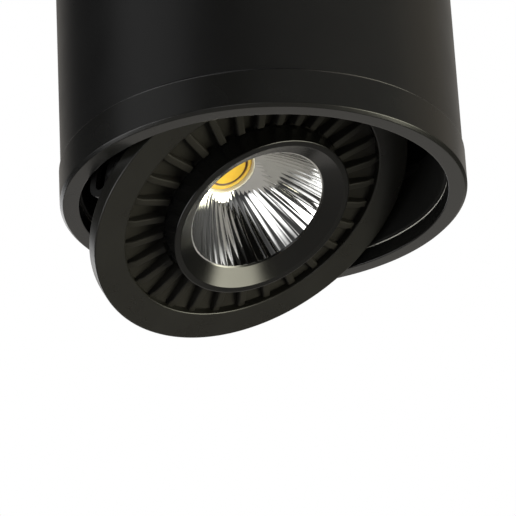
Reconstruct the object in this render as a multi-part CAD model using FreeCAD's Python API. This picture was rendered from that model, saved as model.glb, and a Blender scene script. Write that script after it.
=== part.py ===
import FreeCAD, Part
import math
import os

# Surface mounted ceiling spotlight: a black cylinder under a ceiling plate, with a finned lamp head
# that turns in the cylinder's mouth and tilts out of it on curved slots.
# Millimetres. The origin is the middle of the ceiling plate's upper face, where the lamp meets the
# ceiling, +Z is up, so the lamp hangs below zero. At rest the head is tilted and looks towards +X.

# ---- housing ----
HOUSING_HEIGHT = 110.0
COLLAR_RADIUS = 60.0
COLLAR_HEIGHT = 11.7
COLLAR_PROUD = 0.5
TUBE_WALL = 2.0
CEILING_GAP = 0.3
SEAM_CHAMFER = 0.35
RIM_FACE_WIDTH = 5.7
RIM_CHAMFER = 0.9
RIM_INNER_CHAMFER = 0.4
LIP_HEIGHT = 4.6
SPIGOT_LENGTH = 10.3
SPIGOT_WALL = 1.0
SLIP_FIT = 0.1

# ---- swivel: turning ring on a washer, kept down by a friction ring and a circlip ----
RING_STEP = 0.9
RING_WALL = 1.1
RING_FLANGE_THICKNESS = 2.5
RING_HEIGHT = 17.9
RING_EDGE_CHAMFER = 0.35
RING_PLAY = 0.3
WASHER_THICKNESS = 0.5
FRICTION_RING_THICKNESS = 1.2
AXIAL_PLAY = 0.05
CIRCLIP_THICKNESS = 1.2
CIRCLIP_SEAT = 1.1
CIRCLIP_REACH = 0.8
CIRCLIP_GAP_ANGLE = 16.0
CIRCLIP_EYE_RADIUS = 2.1
CIRCLIP_EYE_HOLE = 0.9
STOP_PIN_RADIUS = 1.5
STOP_PIN_REACH = 1.4
STOP_TAB_WIDTH = 3.0
STOP_TAB_HEIGHT = 2.0
STOP_TAB_DROP = 4.0
STOP_GAP = 0.5

# ---- head ----
TILT = 30.0
TILT_EACH_WAY = 30.0
PIVOT_BELOW_RIM = 6.1
FACE_TO_PIVOT = 7.3
HEAD_GAP = 2.1
FLANGE_WIDTH = 9.8
FLANGE_THICKNESS = 4.5
FLANGE_CHAMFER = 0.4
FIN_COUNT = 30
FIN_THICKNESS = 2.4
FIN_RECESS = 0.8
FIN_SHOULDER = 9.0
FIN_WAIST = 5.5
FIN_WAIST_DEPTH = 17.0
FIN_TAPER = 2.0
FIN_CORNER = 1.4
FIN_NOSE = 2.6
FIN_NOSE_RUN = 1.6
FIN_NOSE_DROP = 2.0
FIN_BEZEL_GAP = 0.4
FIN_ROOT = 1.0
WEB_THICKNESS = 1.5
WEB_DEPTH = 9.5
SINK_DEPTH = 33.0
HUB_RADIUS = 27.5
HUB_WALL = 2.0
HUB_RECESS = 1.5
CUP_FLOOR = 4.0
CORE_RADIUS = 20.0

# ---- bezel and reflector ----
BEZEL_RADIUS = 28.6
BEZEL_PROUD = 5.9
BEZEL_LIP = 1.6
BEZEL_CHAMFER = 0.4
BEZEL_SPIGOT_LENGTH = 4.5
BEZEL_SPIGOT_WALL = 2.0
THROAT_RADIUS = 21.7
THROAT_PROUD = 2.6
THROAT_LAND = 0.45
REFLECTOR_FLUTES = 32
REFLECTOR_STATIONS = 6
REFLECTOR_WALL = 0.8
REFLECTOR_LIP_WIDTH = 1.2
REFLECTOR_LIP_THICKNESS = 0.6
REFLECTOR_EDGE = 0.4
REFLECTOR_SMALL_RADIUS = 8.3
REFLECTOR_CURVE = 0.72

# ---- light source, from the cup floor forwards ----
PAD_THICKNESS = 0.3
BOARD_SIZE = 19.0
BOARD_THICKNESS = 1.0
EMITTER_RADIUS = 6.3
EMITTER_THICKNESS = 0.5
DAM_WIDTH = 1.4
DAM_THICKNESS = 0.65
LIGHT_DEPTH = 17.5
HOLDER_RADIUS = 21.0
HOLDER_THICKNESS = 3.0
HOLDER_SCREW_CIRCLE = 15.6
HOLDER_SCREW_RADIUS = 1.25
LEAD_HOLE_RADIUS = 2.6
LEAD_HOLE_CIRCLE = 14.6
GLAND_HEAD_RADIUS = 4.2
GLAND_HEAD_HEIGHT = 1.5
GLAND_NECK = 4.0
GLAND_BORE = 1.5

# ---- tilt hinge: curved slots about a pivot in front of the face ----
SLOT_RADIUS = 26.0
PIN_RADIUS = 1.5
PIN_HALF_ANGLE = 20.0
SLOT_PLAY = 0.15
SECTOR_EDGE = 2.15
SECTOR_THICKNESS = 1.5
SECTOR_INSET = 8.3
SECTOR_WEB_WIDTH = 24.0
SECTOR_FOOT_REACH = 5.6
SECTOR_SCREW_GAP = 0.2
SECTOR_FOOT_WIDTH = 30.0
HINGE_GAP = 0.4
BRACKET_THICKNESS = 1.6
BRACKET_WIDTH = 24.0
BRACKET_DROP = 9.5
BRACKET_FOOT_REACH = 6.6
BRACKET_CORNER = 3.0
SHELF_THICKNESS = 2.0
SHELF_SETBACK = 3.1
PIN_HEAD_RADIUS = 2.8
PIN_HEAD_HEIGHT = 0.9
PIN_TAIL_RADIUS = 2.1
PIN_TAIL_HEIGHT = 0.8
FRICTION_WASHER_RADIUS = 3.0
FRICTION_WASHER_PLAY = 0.05

# ---- small screws ----
SMALL_SCREW_RADIUS = 1.0
SMALL_SCREW_LENGTH = 3.2
SMALL_HEAD_RADIUS = 1.9
SMALL_HEAD_HEIGHT = 1.3
SMALL_SCREW_SPACING = 16.0
SECTOR_SCREW_SPACING = 21.0
SCREW_RADIUS = 1.5
SCREW_HEAD_RADIUS = 2.75
SCREW_HEAD_HEIGHT = 1.7
SCREW_FIT = 0.05

# ---- ceiling plate and what hangs on it ----
PLATE_GAP = 0.6
PLATE_THICKNESS = 1.5
PLATE_HIDE = 0.2
FIXING_SPACING = 70.0
FIXING_SLOT_LENGTH = 12.0
FIXING_SLOT_RADIUS = 2.2
LUG_COUNT = 3
LUG_START_ANGLE = 90.0
LUG_WIDTH = 12.0
LUG_DROP = 12.0
LUG_ARM = 6.0
LUG_RELIEF = 1.0
LUG_GAP = 0.8
LUG_BEND = 1.2
SIDE_SCREW_DROP = 7.0
SIDE_SCREW_LENGTH = 7.0
CABLE_HOLE_RADIUS = 7.0
CABLE_HOLE_Y = 14.0
GROMMET_BORE = 4.0
GROMMET_FLANGE = 2.5
GROMMET_FLANGE_HEIGHT = 2.0
EARTH_X = -26.0
EARTH_Y = 24.0
EARTH_RADIUS = 2.0
EARTH_HEAD_RADIUS = 3.6
EARTH_HEAD_HEIGHT = 2.6

DRIVER_LENGTH = 66.0
DRIVER_WIDTH = 34.0
DRIVER_HEIGHT = 19.5
DRIVER_Y = -23.0
DRIVER_CORNER = 3.0
DRIVER_EAR_LENGTH = 8.5
DRIVER_EAR_WIDTH = 12.0
EAR_THICKNESS = 2.5
EAR_CORNER = 1.5
DRIVER_LID_THICKNESS = 2.0
DRIVER_LID_INSET = 0.6

BLOCK_LENGTH = 33.0
BLOCK_WIDTH = 15.0
BLOCK_BASE_HEIGHT = 5.0
BLOCK_HEIGHT = 14.0
BLOCK_Y = 34.0
BLOCK_POLES = 3
BLOCK_POLE_PITCH = 10.0
BLOCK_POLE_LENGTH = 8.0
BLOCK_POLE_WIDTH = 9.0
BLOCK_POLE_CORNER = 1.6
BLOCK_EAR_MARGIN = 0.5
BLOCK_WIRE_HOLE = 1.6
BLOCK_WIRE_DROP = 8.0
CLAMP_SCREW_RADIUS = 1.9
CLAMP_SCREW_SINK = 1.0
CLAMP_SCREW_LENGTH = 3.0

# ---- worked out ----
RIM_Z = -HOUSING_HEIGHT
PIVOT_Z = RIM_Z - PIVOT_BELOW_RIM
TUBE_RADIUS = COLLAR_RADIUS - COLLAR_PROUD
TUBE_BORE = TUBE_RADIUS - TUBE_WALL
SEAM_Z = RIM_Z + COLLAR_HEIGHT
SPIGOT_RADIUS = TUBE_BORE - SLIP_FIT
COLLAR_BORE = SPIGOT_RADIUS - SPIGOT_WALL
SPIGOT_TOP = SEAM_Z + SPIGOT_LENGTH
LIP_BORE = COLLAR_RADIUS - RIM_FACE_WIDTH
LIP_Z = RIM_Z + LIP_HEIGHT

RING_RADIUS = COLLAR_BORE - RING_PLAY
RING_BORE = LIP_BORE - RING_STEP
RING_WALL_RADIUS = RING_BORE + RING_WALL
RING_Z = LIP_Z + WASHER_THICKNESS + AXIAL_PLAY
RING_FLANGE_TOP = RING_Z + RING_FLANGE_THICKNESS
RING_TOP = RING_Z + RING_HEIGHT
FRICTION_RING_Z = RING_FLANGE_TOP + AXIAL_PLAY
CIRCLIP_Z = FRICTION_RING_Z + FRICTION_RING_THICKNESS + AXIAL_PLAY
GROOVE_RADIUS = COLLAR_BORE + CIRCLIP_SEAT
CIRCLIP_BORE = COLLAR_BORE - CIRCLIP_REACH

FLANGE_RADIUS = RING_BORE - HEAD_GAP
FLANGE_BORE = FLANGE_RADIUS - FLANGE_WIDTH
CUP_RADIUS = HUB_RADIUS - HUB_WALL
BOARD_DEPTH = LIGHT_DEPTH + EMITTER_THICKNESS
PAD_DEPTH = BOARD_DEPTH + BOARD_THICKNESS
CUP_DEPTH = PAD_DEPTH + PAD_THICKNESS
HOLDER_DEPTH = CUP_DEPTH - HOLDER_THICKNESS
FLANGE_BACK = FACE_TO_PIVOT + FLANGE_THICKNESS

SLOT_HALF_WIDTH = PIN_RADIUS + SLOT_PLAY
SLOT_HALF_ANGLE = PIN_HALF_ANGLE + TILT_EACH_WAY + math.degrees(SLOT_PLAY / SLOT_RADIUS)
SECTOR_Y = FLANGE_RADIUS - SECTOR_INSET
BRACKET_Y = SECTOR_Y + SECTOR_THICKNESS + HINGE_GAP
SHELF_Y = BRACKET_Y + SHELF_SETBACK
SHELF_Z = RING_TOP - SHELF_THICKNESS
BRACKET_SCREW_Y = (SHELF_Y + BRACKET_Y + BRACKET_FOOT_REACH) / 2.0
SECTOR_SCREW_Y = SECTOR_Y + SECTOR_THICKNESS + SMALL_HEAD_RADIUS + SECTOR_SCREW_GAP
PIN_X = SLOT_RADIUS * math.sin(math.radians(PIN_HALF_ANGLE))
PIN_Z = PIVOT_Z + SLOT_RADIUS * math.cos(math.radians(PIN_HALF_ANGLE))

PLATE_RADIUS = TUBE_BORE - PLATE_GAP
LUG_X = TUBE_BORE - LUG_GAP
DRIVER_EAR_X = (DRIVER_LENGTH + DRIVER_EAR_LENGTH) / 2.0
BLOCK_SCREW_X = BLOCK_LENGTH / 2.0 + SCREW_HEAD_RADIUS

Z_AXIS = FreeCAD.Vector(0, 0, 1)
Y_AXIS = FreeCAD.Vector(0, 1, 0)
CENTRE = FreeCAD.Vector(0, 0, 0)


# ---- helpers ----

def turned(outline):
    """A solid of revolution about Z from (radius, z) points."""
    points = [FreeCAD.Vector(radius, 0, z) for radius, z in outline]
    points.append(points[0])
    return Part.Face(Part.makePolygon(points)).revolve(CENTRE, Z_AXIS, 360)


def disc(radius, low, high, x=0.0, y=0.0):
    return Part.makeCylinder(radius, high - low, FreeCAD.Vector(x, y, low))


def ring(outer, inner, low, high):
    return disc(outer, low, high).cut(disc(inner, low - 1, high + 1))


def rod(radius, start, end, x, z):
    """A cylinder along Y."""
    return Part.makeCylinder(radius, end - start, FreeCAD.Vector(x, start, z), Y_AXIS)


def block(x0, x1, y0, y1, z0, z1):
    return Part.makeBox(x1 - x0, y1 - y0, z1 - z0, FreeCAD.Vector(x0, y0, z0))


def joined(shapes):
    return shapes[0].multiFuse(shapes[1:]).removeSplitter()


def turn(shape, angle, axis=Z_AXIS):
    copy = shape.copy()
    copy.rotate(CENTRE, axis, angle)
    return copy


def lift(shape, z):
    copy = shape.copy()
    copy.translate(FreeCAD.Vector(0, 0, z))
    return copy


def edges_along(shape, direction, test):
    """Straight edges that run along a direction and whose middle passes a test."""
    found = []
    for edge in shape.Edges:
        run = edge.Vertexes[-1].Point.sub(edge.Vertexes[0].Point)
        if run.Length > 0 and abs(abs(run.normalize().dot(direction)) - 1) < 1e-6:
            if test(edge.CenterOfMass):
                found.append(edge)
    return found


def rounded_block(x0, x1, y0, y1, z0, z1, radius):
    """A block with its four upright edges rounded."""
    shape = block(x0, x1, y0, y1, z0, z1)
    return shape.makeFillet(radius, edges_along(shape, Z_AXIS, lambda middle: True))


def pan_screw(radius, length, head_radius, head_height, x, y, seat):
    """A pan head screw that points up; seat is the height of the face that its head rests on."""
    crown = head_height / 3.0
    outline = [(0, seat - head_height), (head_radius - crown, seat - head_height),
               (head_radius, seat - head_height + crown), (head_radius, seat), (radius, seat),
               (radius, seat + length - radius / 2.0), (radius / 2.0, seat + length), (0, seat + length)]
    shape = turned(outline)
    shape.translate(FreeCAD.Vector(x, y, 0))
    return shape


def at_head(shape):
    """Tilt a piece of the head, drawn level about its pivot, to where it rests."""
    return lift(turn(shape, -TILT, Y_AXIS), PIVOT_Z)


def front(depth):
    """Height above the pivot of a plane this far behind the flange's face, in the level head."""
    return FACE_TO_PIVOT + depth


# ---- housing ----

def housing_tube():
    tube = ring(TUBE_RADIUS, TUBE_BORE, SEAM_Z, -CEILING_GAP)
    for number in range(LUG_COUNT):
        hole = Part.makeCylinder(SCREW_RADIUS + SCREW_FIT, TUBE_RADIUS,
                                 FreeCAD.Vector(TUBE_BORE - LUG_GAP, 0, -SIDE_SCREW_DROP),
                                 FreeCAD.Vector(1, 0, 0))
        tube = tube.cut(turn(hole, lug_angle(number)))
    return tube


def collar():
    body = turned([
        (LIP_BORE + RIM_INNER_CHAMFER, RIM_Z),
        (COLLAR_RADIUS - RIM_CHAMFER, RIM_Z),
        (COLLAR_RADIUS, RIM_Z + RIM_CHAMFER),
        (COLLAR_RADIUS, SEAM_Z - SEAM_CHAMFER),
        (COLLAR_RADIUS - SEAM_CHAMFER, SEAM_Z),
        (SPIGOT_RADIUS, SEAM_Z),
        (SPIGOT_RADIUS, SPIGOT_TOP - SEAM_CHAMFER),
        (SPIGOT_RADIUS - SEAM_CHAMFER, SPIGOT_TOP),
        (COLLAR_BORE, SPIGOT_TOP),
        (COLLAR_BORE, CIRCLIP_Z + CIRCLIP_THICKNESS + AXIAL_PLAY),
        (GROOVE_RADIUS, CIRCLIP_Z + CIRCLIP_THICKNESS + AXIAL_PLAY),
        (GROOVE_RADIUS, CIRCLIP_Z),
        (COLLAR_BORE, CIRCLIP_Z),
        (COLLAR_BORE, LIP_Z),
        (LIP_BORE, LIP_Z),
        (LIP_BORE, RIM_Z + RIM_INNER_CHAMFER)])
    return body.cut(stop_pin_shape(SCREW_FIT))


def stop_pin_shape(margin):
    """The radial pin through the collar's spigot, on the -X side, that ends the ring's turn."""
    inner = COLLAR_BORE - STOP_PIN_REACH
    pin = Part.makeCylinder(STOP_PIN_RADIUS + margin, SPIGOT_RADIUS - inner,
                            FreeCAD.Vector(inner, 0, stop_z()), FreeCAD.Vector(1, 0, 0))
    return turn(pin, 180)


def stop_z():
    return RING_TOP - STOP_TAB_DROP + STOP_TAB_HEIGHT / 2.0


def stop_pin():
    return stop_pin_shape(0.0)


def glide_washer():
    return ring(COLLAR_BORE - SLIP_FIT, LIP_BORE + SLIP_FIT, LIP_Z, LIP_Z + WASHER_THICKNESS)


def friction_ring():
    return ring(COLLAR_BORE - SLIP_FIT, RING_WALL_RADIUS + RING_PLAY,
                FRICTION_RING_Z, FRICTION_RING_Z + FRICTION_RING_THICKNESS)


def circlip():
    """Internal retaining ring: sprung ring with a gap and an eye on each end for the pliers."""
    high = CIRCLIP_Z + CIRCLIP_THICKNESS
    hoop = ring(GROOVE_RADIUS - SLIP_FIT, CIRCLIP_BORE, CIRCLIP_Z, high)
    half_gap = math.radians(CIRCLIP_GAP_ANGLE / 2.0)
    reach = COLLAR_RADIUS
    wedge = Part.Face(Part.makePolygon([
        FreeCAD.Vector(0, 0, CIRCLIP_Z),
        FreeCAD.Vector(-reach * math.sin(half_gap), reach * math.cos(half_gap), CIRCLIP_Z),
        FreeCAD.Vector(reach * math.sin(half_gap), reach * math.cos(half_gap), CIRCLIP_Z),
        FreeCAD.Vector(0, 0, CIRCLIP_Z)])).extrude(FreeCAD.Vector(0, 0, CIRCLIP_THICKNESS))
    hoop = hoop.cut(wedge)
    eye_circle = GROOVE_RADIUS - SLIP_FIT - CIRCLIP_EYE_RADIUS
    eye_angle = half_gap + CIRCLIP_EYE_RADIUS / eye_circle
    limit = ring(GROOVE_RADIUS - SLIP_FIT, RING_WALL_RADIUS + RING_PLAY, CIRCLIP_Z, high)
    for side in (-1, 1):
        x = side * eye_circle * math.sin(eye_angle)
        y = eye_circle * math.cos(eye_angle)
        hoop = hoop.fuse(disc(CIRCLIP_EYE_RADIUS, CIRCLIP_Z, high, x, y).common(limit))
        hoop = hoop.cut(disc(CIRCLIP_EYE_HOLE, CIRCLIP_Z - 1, high + 1, x, y))
    return hoop.removeSplitter()


# ---- turning ring and hinge brackets ----

def turning_ring():
    body = turned([
        (RING_BORE + RING_EDGE_CHAMFER, RING_Z),
        (RING_RADIUS, RING_Z),
        (RING_RADIUS, RING_FLANGE_TOP),
        (RING_WALL_RADIUS, RING_FLANGE_TOP),
        (RING_WALL_RADIUS, RING_TOP),
        (RING_BORE, RING_TOP),
        (RING_BORE, RING_Z + RING_EDGE_CHAMFER)])
    shelf = disc(RING_BORE + RING_WALL / 2.0, SHELF_Z, RING_TOP).common(
        block(-RING_BORE, RING_BORE, SHELF_Y, RING_RADIUS, SHELF_Z, RING_TOP))
    tab_z = RING_TOP - STOP_TAB_DROP
    tab = block(RING_BORE + RING_WALL / 2.0, COLLAR_BORE - STOP_GAP,
                -STOP_TAB_WIDTH / 2.0, STOP_TAB_WIDTH / 2.0, tab_z, tab_z + STOP_TAB_HEIGHT)
    body = joined([body, shelf, turn(shelf, 180), tab])
    for x, y in bracket_screw_places():
        body = body.cut(disc(SMALL_SCREW_RADIUS + SCREW_FIT, SHELF_Z - 1, RING_TOP + 1, x, y))
    return body


def bracket_screw_places():
    half = SMALL_SCREW_SPACING / 2.0
    return [(x, y) for x in (-half, half) for y in (-BRACKET_SCREW_Y, BRACKET_SCREW_Y)]


def hinge_bracket():
    """The +Y bracket: an angle that stands on the ring's shelf and hangs its plate beside the slot."""
    half = BRACKET_WIDTH / 2.0
    top = RING_TOP + BRACKET_THICKNESS
    plate = block(-half, half, BRACKET_Y, BRACKET_Y + BRACKET_THICKNESS, top - BRACKET_DROP, top)
    plate = plate.makeFillet(BRACKET_CORNER, edges_along(
        plate, Y_AXIS, lambda middle: middle.z < RING_TOP))
    foot = block(-half, half, BRACKET_Y, BRACKET_Y + BRACKET_FOOT_REACH, RING_TOP, top)
    foot = foot.makeFillet(BRACKET_CORNER, edges_along(
        foot, Z_AXIS, lambda middle: middle.y > SHELF_Y))
    body = joined([plate, foot])
    for side in (-1, 1):
        x = side * SMALL_SCREW_SPACING / 2.0
        body = body.cut(disc(SMALL_SCREW_RADIUS + SCREW_FIT, SHELF_Z, top + 1, x, BRACKET_SCREW_Y))
        body = body.cut(rod(PIN_RADIUS + SCREW_FIT, SECTOR_Y, SHELF_Y + BRACKET_FOOT_REACH,
                            side * PIN_X, PIN_Z))
    return body


def bracket_screws():
    """Four pan head screws, pointing down through the bracket feet into the shelves."""
    screws = []
    for x, y in bracket_screw_places():
        screw = pan_screw(SMALL_SCREW_RADIUS, SMALL_SCREW_LENGTH, SMALL_HEAD_RADIUS,
                          SMALL_HEAD_HEIGHT, 0, 0, 0)
        screw.rotate(CENTRE, Y_AXIS, 180)
        screw.translate(FreeCAD.Vector(x, y, RING_TOP + BRACKET_THICKNESS))
        screws.append(screw)
    return Part.makeCompound(screws)


def hinge_pin(x):
    """One +Y shoulder pin: head inside the sector plate, tail riveted over outside the bracket."""
    head_y = SECTOR_Y - AXIAL_PLAY
    outside = BRACKET_Y + BRACKET_THICKNESS
    return joined([
        rod(PIN_RADIUS, head_y, outside, x, PIN_Z),
        rod(PIN_HEAD_RADIUS, head_y - PIN_HEAD_HEIGHT, head_y, x, PIN_Z),
        rod(PIN_TAIL_RADIUS, outside, outside + PIN_TAIL_HEIGHT, x, PIN_Z)])


def hinge_pins():
    pins = [hinge_pin(-PIN_X), hinge_pin(PIN_X)]
    return Part.makeCompound(pins + [turn(pin, 180) for pin in pins])


def friction_washers():
    """Thin washers between each bracket and its sector plate."""
    washers = []
    start = SECTOR_Y + SECTOR_THICKNESS + FRICTION_WASHER_PLAY
    for x in (-PIN_X, PIN_X):
        washer = rod(FRICTION_WASHER_RADIUS, start, BRACKET_Y, x, PIN_Z)
        washer = washer.cut(rod(PIN_RADIUS + SCREW_FIT, start - 1, BRACKET_Y + 1, x, PIN_Z))
        washers.append(washer)
    return Part.makeCompound(washers + [turn(washer, 180) for washer in washers])


# ---- head: heat sink ----

def fin():
    """One radial fin along +X; its front slopes down before the flange, its back narrows to the rear."""
    shoulder = FLANGE_BORE
    waist = shoulder - FIN_WAIST
    tail = waist - FIN_TAPER
    rear = front(SINK_DEPTH)
    inside_hub = HUB_RADIUS - FIN_ROOT
    inside_core = CORE_RADIUS - FIN_ROOT
    inside_floor = front(CUP_DEPTH) + CUP_FLOOR / 2.0
    inside_flange = FLANGE_BORE + FIN_ROOT
    inner = BEZEL_RADIUS + FIN_BEZEL_GAP
    outline = [
        (inside_hub, front(HUB_RECESS + FIN_ROOT)),
        (inner, front(HUB_RECESS + FIN_ROOT)),
        (inner, front(FIN_RECESS)),
        (shoulder - FIN_NOSE, front(FIN_RECESS)),
        (shoulder - FIN_NOSE + FIN_NOSE_RUN, front(FIN_RECESS + FIN_NOSE_DROP)),
        (inside_flange, front(FIN_RECESS + FIN_NOSE_DROP)),
        (inside_flange, FLANGE_BACK),
        (shoulder, FLANGE_BACK),
        (shoulder, front(FIN_SHOULDER)),
        (waist, front(FIN_WAIST_DEPTH)),
        (tail, rear - FIN_CORNER),
        (tail - FIN_CORNER, rear),
        (inside_core, rear),
        (inside_core, inside_floor),
        (inside_hub, inside_floor)]
    points = [FreeCAD.Vector(radius, -FIN_THICKNESS / 2.0, z) for radius, z in outline]
    points.append(points[0])
    return Part.Face(Part.makePolygon(points)).extrude(FreeCAD.Vector(0, FIN_THICKNESS, 0))


def sink_web():
    """The cone that closes the gaps between the fins, from the flange's back edge down to the hub."""
    outside = FLANGE_BORE + FIN_ROOT
    inside = HUB_RADIUS - FIN_ROOT
    return turned([
        (inside, front(WEB_DEPTH)),
        (outside, front(FLANGE_THICKNESS - WEB_THICKNESS)),
        (outside, FLANGE_BACK),
        (inside, front(WEB_DEPTH + WEB_THICKNESS))])


def heat_sink():
    flange = turned([
        (FLANGE_BORE + FLANGE_CHAMFER, front(0)),
        (FLANGE_RADIUS - FLANGE_CHAMFER, front(0)),
        (FLANGE_RADIUS, front(FLANGE_CHAMFER)),
        (FLANGE_RADIUS, FLANGE_BACK - FLANGE_CHAMFER),
        (FLANGE_RADIUS - FLANGE_CHAMFER, FLANGE_BACK),
        (FLANGE_BORE, FLANGE_BACK),
        (FLANGE_BORE, front(FLANGE_CHAMFER))])
    floor_back = front(CUP_DEPTH + CUP_FLOOR)
    hub = turned([
        (CUP_RADIUS, front(HUB_RECESS)),
        (HUB_RADIUS, front(HUB_RECESS)),
        (HUB_RADIUS, floor_back),
        (CORE_RADIUS, floor_back + CUP_FLOOR),
        (CORE_RADIUS, front(SINK_DEPTH)),
        (0, front(SINK_DEPTH)),
        (0, front(CUP_DEPTH)),
        (CUP_RADIUS, front(CUP_DEPTH))])
    step = 360.0 / FIN_COUNT
    fins = [turn(fin(), (number + 0.5) * step) for number in range(FIN_COUNT)]
    body = joined([hub, flange, sink_web()] + fins)
    for side in (-1, 1):
        body = body.cut(disc(HOLDER_SCREW_RADIUS + SCREW_FIT, front(CUP_DEPTH) - 1,
                             front(CUP_DEPTH) + CUP_FLOOR, side * HOLDER_SCREW_CIRCLE, 0))
    for x, y in sector_screw_places():
        body = body.cut(disc(SMALL_SCREW_RADIUS + SCREW_FIT, FLANGE_BACK - SMALL_SCREW_LENGTH,
                             FLANGE_BACK + 1, x, y))
    return at_head(body.cut(disc(LEAD_HOLE_RADIUS, front(CUP_DEPTH) - 1, front(SINK_DEPTH) + 1,
                                 0, LEAD_HOLE_CIRCLE)))


def lead_gland():
    rear = front(SINK_DEPTH)
    gland = turned([
        (GLAND_BORE, rear - GLAND_NECK),
        (LEAD_HOLE_RADIUS - SCREW_FIT, rear - GLAND_NECK),
        (LEAD_HOLE_RADIUS - SCREW_FIT, rear),
        (GLAND_HEAD_RADIUS, rear),
        (GLAND_HEAD_RADIUS, rear + GLAND_HEAD_HEIGHT / 2.0),
        (GLAND_HEAD_RADIUS - GLAND_HEAD_HEIGHT / 2.0, rear + GLAND_HEAD_HEIGHT),
        (GLAND_BORE, rear + GLAND_HEAD_HEIGHT)])
    gland.translate(FreeCAD.Vector(0, LEAD_HOLE_CIRCLE, 0))
    return at_head(gland)


# ---- head: sector plates ----

def arc_band(radius, half_width, half_angle, start, end):
    """A band about an arc round the pivot, with round ends, standing between two Y planes."""
    angle = math.radians(half_angle)

    def point(distance, at, along=0.0):
        x = distance * math.sin(at) + along * math.cos(at)
        z = distance * math.cos(at) - along * math.sin(at)
        return FreeCAD.Vector(x, start, z)

    outer = radius + half_width
    inner = radius - half_width
    edges = [
        Part.Arc(point(outer, -angle), point(outer, 0), point(outer, angle)).toShape(),
        Part.Arc(point(outer, angle), point(radius, angle, half_width), point(inner, angle)).toShape(),
        Part.Arc(point(inner, angle), point(inner, 0), point(inner, -angle)).toShape(),
        Part.Arc(point(inner, -angle), point(radius, -angle, -half_width),
                 point(outer, -angle)).toShape()]
    return Part.Face(Part.Wire(edges)).extrude(FreeCAD.Vector(0, end - start, 0))


def sector_plate():
    """The +Y plate: a curved slot about the pivot over a web and a foot screwed to the flange."""
    back = SECTOR_Y + SECTOR_THICKNESS
    band = arc_band(SLOT_RADIUS, SLOT_HALF_WIDTH + SECTOR_EDGE, SLOT_HALF_ANGLE, SECTOR_Y, back)
    half_web = SECTOR_WEB_WIDTH / 2.0
    web = block(-half_web, half_web, SECTOR_Y, back, FLANGE_BACK, SLOT_RADIUS).common(
        rod(SLOT_RADIUS - SLOT_HALF_WIDTH, SECTOR_Y, back, 0, 0))
    half_foot = SECTOR_FOOT_WIDTH / 2.0
    foot = block(-half_foot, half_foot, SECTOR_Y, SECTOR_Y + SECTOR_FOOT_REACH,
                 FLANGE_BACK, FLANGE_BACK + SECTOR_THICKNESS)
    slot = arc_band(SLOT_RADIUS, SLOT_HALF_WIDTH, SLOT_HALF_ANGLE, SECTOR_Y - 1, back + 1)
    body = joined([band, web, foot]).cut(slot)
    for x, y in sector_screw_places():
        body = body.cut(disc(SMALL_SCREW_RADIUS + SCREW_FIT, FLANGE_BACK - 1,
                             FLANGE_BACK + SECTOR_THICKNESS + 1, x, y))
    return body


def sector_screw_places():
    half = SECTOR_SCREW_SPACING / 2.0
    return [(x, y) for x in (-half, half) for y in (-SECTOR_SCREW_Y, SECTOR_SCREW_Y)]


def sector_screws():
    """Four pan head screws through the plates' feet into the back of the flange."""
    screws = []
    for x, y in sector_screw_places():
        screw = pan_screw(SMALL_SCREW_RADIUS, SMALL_SCREW_LENGTH, SMALL_HEAD_RADIUS,
                          SMALL_HEAD_HEIGHT, 0, 0, 0)
        screw.rotate(CENTRE, Y_AXIS, 180)
        screw.translate(FreeCAD.Vector(x, y, FLANGE_BACK + SECTOR_THICKNESS))
        screws.append(at_head(screw))
    return Part.makeCompound(screws)


# ---- head: bezel, reflector and light source ----

def bezel():
    """Proud ring with a conical throat; its rear spigot plugs into the hub's cup."""
    seat = front(HUB_RECESS)
    spigot = CUP_RADIUS - SLIP_FIT
    bore = spigot - BEZEL_SPIGOT_WALL
    lip_front = front(-BEZEL_PROUD)
    throat = front(-THROAT_PROUD)
    return at_head(turned([
        (BEZEL_RADIUS - BEZEL_CHAMFER - BEZEL_LIP, lip_front),
        (BEZEL_RADIUS - BEZEL_CHAMFER, lip_front),
        (BEZEL_RADIUS, lip_front + BEZEL_CHAMFER),
        (BEZEL_RADIUS, seat),
        (spigot, seat),
        (spigot, seat + BEZEL_SPIGOT_LENGTH),
        (bore, seat + BEZEL_SPIGOT_LENGTH),
        (bore, throat + THROAT_LAND),
        (THROAT_RADIUS, throat + THROAT_LAND),
        (THROAT_RADIUS, throat)]))


def reflector_profile():
    """(radius, height) of the reflector's inside, from its mouth back to its small end."""
    mouth = front(-THROAT_PROUD) + THROAT_LAND
    small_end = front(HOLDER_DEPTH) - SLIP_FIT
    wide = THROAT_RADIUS - REFLECTOR_EDGE
    profile = []
    for number in range(REFLECTOR_STATIONS + 1):
        share = 1.0 - number / REFLECTOR_STATIONS
        radius = REFLECTOR_SMALL_RADIUS + (wide - REFLECTOR_SMALL_RADIUS) * share ** REFLECTOR_CURVE
        profile.append((radius, small_end + (mouth - small_end) * share))
    return profile


def flute_ring(radius, z):
    """A closed ring of straight facets round the reflector."""
    points = []
    for number in range(REFLECTOR_FLUTES + 1):
        angle = 2 * math.pi * number / REFLECTOR_FLUTES
        points.append(FreeCAD.Vector(radius * math.cos(angle), radius * math.sin(angle), z))
    points[-1] = points[0]
    return Part.makePolygon(points)


def reflector():
    """Fluted cup: facets inside, smooth outside, with the flat lip that the bezel traps."""
    profile = reflector_profile()
    mouth_radius, mouth = profile[0]
    outside = [(radius + REFLECTOR_WALL, z) for radius, z in profile]
    lip_radius = mouth_radius + REFLECTOR_EDGE + REFLECTOR_LIP_WIDTH
    lip_back = mouth + REFLECTOR_LIP_THICKNESS
    outline = [(0, mouth), (lip_radius, mouth), (lip_radius, lip_back),
               (mouth_radius + REFLECTOR_WALL, lip_back)]
    outline += [point for point in outside if point[1] > lip_back]
    outline.append((0, outside[-1][1]))
    hollow = Part.makeLoft([flute_ring(radius, z) for radius, z in profile], True, True)
    return at_head(turned(outline).cut(hollow))


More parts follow.
